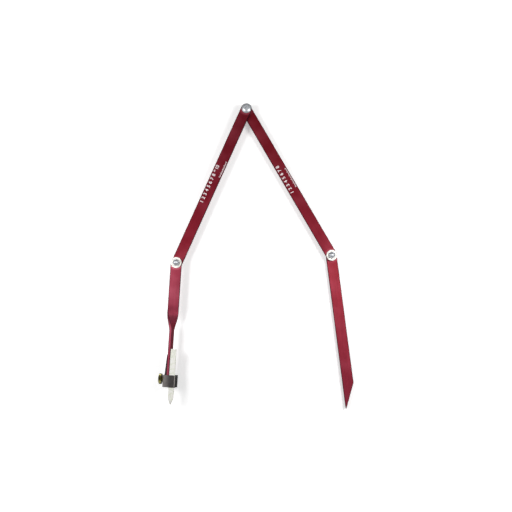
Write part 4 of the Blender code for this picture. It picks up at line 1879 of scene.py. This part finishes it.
@dataclass
class SoapstoneClamp:
    """The sleeve on the blade, with its pad, thumb screw and stick.

    Attributes:
        shop: What finishes and places the pieces.
        layout: The bars' places and levels.
        stock: The bar that the blade is made of.
        leg: The twisted leg's lengths.
        length: The sleeve's length along the leg.
        wall: Its wall.
        bend: The radius inside its corners.
        play: The room above and below the blade.
        overhang: How far it ends past the blade's end.
        hem: How far its cut ends are eased.
        pad: The pad's thickness.
        pad_tail: The thickness of the pad's tail.
        pad_tail_length: How far the tail goes up past the sleeve.
        pad_height: The pad's height.
        pad_travel: How far the pad goes back when loose.
        screw: The thread's outer diameter.
        screw_pitch: Its pitch.
        screw_point: The diameter of the screw's plain point.
        screw_point_length: The point's length.
        screw_from_top: How far the screw is from the sleeve's upper end.
        screw_reach: How far the head stands off the sleeve.
        thread_depth: How deep the thread is.
        thumb: The knurled head's diameter.
        thumb_thickness: Its thickness.
        knurl: How deep the knurling is.
        rim_width: How wide the slope at the head's rim is.
        rim_height: How high it is.
        boss: The diameter of the boss on the head.
        boss_height: The boss's height.
        collar: The diameter of the collar under the head.
        stick_width: The stick's width.
        stick_thickness: Its thickness.
        stick_length: Its length.
        stick_out: How far its tip is past the sleeve.
        stick_taper: How long its tapered end is.
        stick_tip: How wide its tip is.
        sharp_bend: The angle in degrees above which the sleeve's edges stay sharp.
    """

    shop: Workshop
    layout: Layout
    stock: BarStock
    leg: TwistedLeg
    length: float = 27.0
    wall: float = 1.6
    bend: float = 1.0
    play: float = 0.6
    overhang: float = 1.5
    hem: float = 0.2
    pad: float = 4.0
    pad_tail: float = 0.9
    pad_tail_length: float = 46.0
    pad_height: float = 23.0
    pad_travel: float = 1.0
    screw: float = 6.35
    screw_pitch: float = 1.27
    screw_point: float = 4.4
    screw_point_length: float = 1.4
    screw_from_top: float = 9.5
    screw_reach: float = 4.5
    thread_depth: float = 0.34
    thumb: float = 24.0
    thumb_thickness: float = 7.0
    knurl: float = 0.45
    rim_width: float = 1.2
    rim_height: float = 0.8
    boss: float = 9.0
    boss_height: float = 1.4
    collar: float = 11.0
    stick_width: float = 12.7
    stick_thickness: float = 4.76
    stick_length: float = 124.0
    stick_out: float = 38.0
    stick_taper: float = 14.0
    stick_tip: float = 2.0
    sharp_bend: float = 40.0

    @property
    def screw_along(self) -> float:
        """The screw's place along the leg, from the blade's end."""
        return self.overhang - self.length + self.screw_from_top

    @property
    def room(self) -> float:
        """How far the stick stays off the sleeve, so that its corner clears the bend inside."""
        return self.layout.gap_mm + self.bend * (1 - math.sqrt(0.5))

    @property
    def near(self) -> float:
        """How far from the blade's middle the pieces beside it start."""
        return self.stock.thickness / 2 + self.layout.gap_mm

    @property
    def sides(self) -> tuple[float, float, float, float]:
        """The sleeve's inner faces: screw side, stick side, bottom and top."""
        screw_side = -(self.near + self.pad + self.pad_travel + self.layout.gap_mm)
        reach = self.stock.width / 2 + self.play
        return screw_side, self.near + self.stick_width + self.room, -reach, reach

    def frame(self) -> Matrix:
        """The clamp's frame: at the blade's end, X along the leg, leaning as the blade does."""
        lay = self.layout
        leg = lay.frame(lay.elbow(lay.left_heading), lay.holder_heading, lay.holder_level)
        end = Matrix.Translation((self.leg.length * MM, 0.0, 0.0))
        return leg @ end @ Matrix.Rotation(math.pi / 2 - self.leg.angle, 4, "X")

    def sleeve(self) -> None:
        """The bent steel loop."""
        left, right, bottom, top = self.sides
        far, hem = -self.length, self.hem
        # The wall at each section, from the upper end down outside, and back up inside
        walls = [(far, self.wall - hem), (far + hem, self.wall), (-hem, self.wall), (0.0, self.wall - hem)]
        sections = []
        for along, wall in [*walls, (0.0, 0.0), (far, 0.0)]:
            outline = rectangle(left - wall, right + wall, bottom - wall, top + wall, self.bend + wall, 8)
            sections.append([Vector((along, y, z)) for y, z in outline])
        made = loose_object("clamp_sleeve_detailed", lofted(sections, ring=True), self.sharp_bend)
        made.data.transform(Matrix.Translation((self.overhang, 0.0, 0.0)))
        hole = arc((0.0, 0.0), self.screw / 2 + self.layout.gap_mm, 0.0, 2 * math.pi, 48)[:-1]
        drill = loose_object("drill", prism(hole, -self.wall, self.wall))
        hole_middle = Matrix.Translation((self.screw_along, left - self.wall / 2, 0.0))
        drill.data.transform(hole_middle @ Matrix.Rotation(-math.pi / 2, 4, "X"))
        cut(made, drill)
        made.data.set_sharp_from_angle(angle=math.radians(self.sharp_bend))
        steel = BlackOxideSteel("blackened_sleeve_steel")
        self.shop.place(made, self.frame(), steel, "clamp", "clamp_sleeve_finish", "clamp_sleeve")

    def pressure_pad(self) -> None:
        """The steel pad beside the blade, tapered to a thin tail above the sleeve."""
        inner = -self.near
        outer = inner - self.pad
        top = self.overhang - self.length
        tail = top - self.pad_tail_length
        corners = [(0.0, inner, 0.3), (tail, inner, 0.2), (tail, inner - self.pad_tail, 0.3)]
        # The slope ends a millimetre above the sleeve, in a wide bend
        corners += [(top - 1.0, outer, 6.0), (0.0, outer, 0.3)]
        half = self.pad_height / 2
        made = loose_object("pressure_pad_detailed", prism(filleted(corners), -half, half))
        eased(made, 0.25, 2)
        steel = BlackOxideSteel("blackened_pad_steel", black="#1a1817", rubbed="#3b3836")
        self.shop.place(made, self.frame(), steel, "pad", "pressure_pad_finish", "pressure_pad")

    def thumb_screw(self) -> None:
        """The brass thumb screw: its frame's Z runs from the head to the point."""
        left = self.sides[0]
        seat = left - self.wall - self.screw_reach
        tip = -(self.near + self.pad + self.layout.gap_mm)
        point = tip - self.screw_point_length
        back = seat - self.thumb_thickness
        rim = self.thumb / 2 - self.knurl
        core = self.screw / 2 - self.thread_depth
        neck = seat + self.screw_reach / 2
        corners = [
            (0.0, back - self.boss_height, 0.0),
            (self.boss / 2, back - self.boss_height, 0.5),
            (self.boss / 2, back, 0.3),
            (rim - self.rim_width, back, 0.4),
            (rim, back + self.rim_height, 0.3),
            (rim, seat - self.rim_height, 0.3),
            (rim - self.rim_width, seat, 0.4),
            (self.collar / 2, seat, 0.4),
            (self.collar / 2, neck, 0.5),
            (core, neck, 0.3),
            (core, point, 0.0),
            (self.screw_point / 2, point, 0.0),
            (self.screw_point / 2, tip, 0.3),
            (0.0, tip, 0.0),
        ]
        made = loose_object("thumb_screw_detailed", lathe(filleted(corners, closed=False)), 30.0)
        brass = TarnishedBrass("tarnished_thumb_screw_brass")
        # The ridges keep off the slopes at both sides of the rim
        values = {"Radius": rim - THREAD_SINK, "Height": self.thumb_thickness - 2 * self.rim_height}
        values |= {"Depth": self.knurl + 0.01, "Material": brass.material()}
        ridges = self.shop.knurling.run(loose_object("knurling", bmesh.new()), values)
        ridges.data.transform(Matrix.Translation((0.0, 0.0, (back + seat) / 2)))
        wound = self.shop.wound(core, self.thread_depth, self.screw_pitch, neck + 0.5, point - 0.2, brass)
        joined(made, [ridges, wound])
        turn = Matrix.Translation((self.screw_along * MM, 0.0, 0.0)) @ Matrix.Rotation(-math.pi / 2, 4, "X")
        self.shop.place(made, self.frame() @ turn, brass, "screw", "thumb_screw_finish", "thumb_screw")

    def stick(self) -> None:
        """The flat soapstone, worn round at its edges and to a blunt point."""
        half = self.stick_width / 2
        tip = self.stick_tip / 2
        thick = self.stick_thickness / 2
        # Forty even steps along the body, then fourteen down the taper, each as place, half width and depth
        straight = self.stick_length - self.stick_taper
        stations = [(straight * step / 40 - self.stick_length, half, thick) for step in range(41)]
        for share in (step / 14 for step in range(1, 15)):
            wide = half + (tip - half) * share
            stations.append((-self.stick_taper * (1 - share), wide, thick * (1 - 0.25 * share**2)))
        sections = []
        for index, (along, wide, deep) in enumerate(stations):
            # Two waves of different lengths make the worn edge uneven, by at most 0.12 mm
            worn = 0.12 * math.sin(index * 1.7) + 0.08 * math.sin(index * 0.63 + 1.0)
            wide -= abs(worn) * 0.6
            outline = rectangle(-wide, wide, -deep, deep, min(0.7, deep * 0.7, wide * 0.7))
            sections.append([Vector((along, y, z)) for y, z in outline])
        made = loose_object("marking_stick_detailed", lofted(sections), 50.0)
        eased(made, 0.35)
        height = self.sides[3] - self.room - thick
        turn = Matrix.Translation(Vector((self.overhang + self.stick_out, self.near + half, height)) * MM)
        stone = Soapstone("dry_soapstone")
        self.shop.place(made, self.frame() @ turn, stone, "stick", "marking_stick_finish", "marking_stick")


@dataclass
class Studio:
    """The paper, the lamps, the surroundings and the camera.

    Attributes:
        camera_mm: Where the camera is.
        tilt: How far it is turned up from looking straight down, in degrees.
        lens: Its focal length, in millimetres.
        room_light: How strongly the room itself lights the tool.
        horizon: How bright reflections see the room at the horizon.
        sensor: The sensor's width, in millimetres.
        paper_size: Half the paper's side, in metres.
        paper_below: How far the paper lies below the tool, in metres.
        lamp_aside: How far to each side of the tool a lamp hangs, in metres.
        lamp_y: Where along Y the lamps hang, in metres.
        lamp_height: How high it hangs, in metres.
        lamp_size: Its side, in metres.
        lamp_power: Its power, in watts.
        lamp_spread: How wide its grid lets the light out, in radians.
        lamp_aim: Where it points, as a share of its own distance from the middle.
        aim_y: Where along Y the lamps point, in metres.
    """

    camera_mm: tuple[float, float, float] = (23.0, -562.6, 1695.6)
    tilt: float = 7.06
    lens: float = 50.625
    sensor: float = 36.0
    paper_size: float = 6.0
    paper_below: float = 0.0002
    room_light: float = 0.12
    horizon: float = 0.45
    lamp_aside: float = 0.75
    lamp_y: float = -0.3
    lamp_height: float = 1.0
    lamp_size: float = 0.5
    lamp_power: float = 3.9
    lamp_spread: float = math.radians(110.0)
    lamp_aim: float = 0.5
    aim_y: float = -0.35

    def camera(self) -> None:
        """Adds the camera where the photograph was taken from."""
        data = bpy.data.cameras.new("camera")
        data.sensor_width = self.sensor
        data.lens = self.lens
        data.clip_start = 0.01
        data.clip_end = 50.0
        made = bpy.data.objects.new("camera", data)
        made.location = Vector(self.camera_mm) * MM
        made.rotation_euler = (math.radians(self.tilt), 0.0, 0.0)
        bpy.context.scene.collection.objects.link(made)
        bpy.context.scene.camera = made

    def paper(self) -> None:
        """Lays the paper that the tool lies on."""
        size = self.paper_size
        mesh = bpy.data.meshes.new("paper")
        corners = rectangle(-size, size, -size, size, 0.0)
        mesh.from_pydata([(x, y, 0.0) for x, y in corners], [], [(0, 1, 2, 3)])
        mesh.materials.append(StudioPaper("white_studio_paper").material())
        made = bpy.data.objects.new("paper", mesh)
        bpy.context.scene.collection.objects.link(made)
        made.location = (0.0, 0.0, -self.paper_below)

    def lamp(self, name: str, across: float) -> None:
        """A square softbox with a grid, which points at its own side so that shadows fall inwards.

        Args:
            name: The lamp's name.
            across: Where along X it hangs, in metres.
        """
        data = bpy.data.lights.new(name, "AREA")
        data.shape = "SQUARE"
        data.size = self.lamp_size
        data.energy = self.lamp_power
        data.spread = self.lamp_spread
        made = bpy.data.objects.new(name, data)
        made.location = (across, self.lamp_y, self.lamp_height)
        aim = Vector((across * self.lamp_aim, self.aim_y, 0.0)) - made.location
        made.rotation_euler = aim.to_track_quat("-Z", "Y").to_euler()
        bpy.context.scene.collection.objects.link(made)

    def surroundings(self) -> None:
        """A white room, which reflections see a little darker towards the horizon."""
        world = bpy.data.worlds.new("white_room")
        bpy.context.scene.world = world
        world.use_nodes = True
        tree = world.node_tree
        path = add_node(tree, "ShaderNodeLightPath")
        facing = add_node(tree, "ShaderNodeTexCoord").outputs["Generated"]
        axes = add_node(tree, "ShaderNodeSeparateXYZ", {0: facing})
        ceiling = add_node(
            tree, "ShaderNodeMapRange",
            {"Value": axes.outputs["Z"], "To Min": self.horizon, "To Max": 1.0},
            interpolation_type="SMOOTHSTEP",
        )
        mirrored = add_node(
            tree, "ShaderNodeMath", {0: path.outputs["Is Glossy Ray"], 1: ceiling}, operation="MULTIPLY"
        )
        rays = {0: path.outputs["Is Camera Ray"], 1: path.outputs["Is Transmission Ray"]}
        shown = add_node(tree, "ShaderNodeMath", rays, operation="MAXIMUM")
        seen = add_node(tree, "ShaderNodeMath", {0: mirrored, 1: shown}, operation="MAXIMUM")
        strength = add_node(tree, "ShaderNodeMath", {0: seen, 1: self.room_light}, operation="MAXIMUM")
        set_inputs(tree, tree.nodes["Background"], {"Color": WHITE, "Strength": strength})

    def build(self) -> None:
        """Sets the whole studio up."""
        self.camera()
        self.paper()
        self.lamp("left_softbox", -self.lamp_aside)
        self.lamp("right_softbox", self.lamp_aside)
        self.surroundings()
        bpy.context.scene.view_settings.view_transform = "Standard"


def main() -> None:
    """Loads the CAD frame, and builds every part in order."""
    for old in list(bpy.data.objects):
        bpy.data.objects.remove(old, do_unlink=True)
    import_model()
    lay = Layout()
    stock = BarStock()
    leg = TwistedLeg()
    shop = Workshop()
    Studio().build()

    folding = FoldingFrame(shop, lay, stock, leg)
    folding.upper_arms()
    folding.point_leg()
    folding.holder_leg()
    zinc = ZincPlatedSteel("zinc_plated_cold_headed_steel")
    # The washers' zinc is painted paler, as a painted reflection of their flat faces
    pale_zinc = ZincPlatedSteel("zinc_plated_stamped_steel_painted_pale", "#cbc9c3", "#a09f9a", scratched="#eeeeea")
    hardware = PivotHardware(shop, lay, zinc, pale_zinc, Nylon("natural_nylon"))
    hardware.apex()
    left, right = lay.elbow(lay.left_heading), lay.elbow(lay.right_heading)
    hardware.elbow(Side.LEFT, left, lay.upper_left_level, lay.left_heading, "upper_left", "holder_leg")
    hardware.elbow(Side.RIGHT, right, lay.point_level, lay.point_heading, "point_leg", "upper_right")
    clamp = SoapstoneClamp(shop, lay, stock, leg)
    clamp.sleeve()
    clamp.pressure_pad()
    clamp.thumb_screw()
    clamp.stick()
    log.info("%d pieces placed", len(shop.placed))

    bpy.context.view_layer.update()


if __name__ == "__main__":
    main()
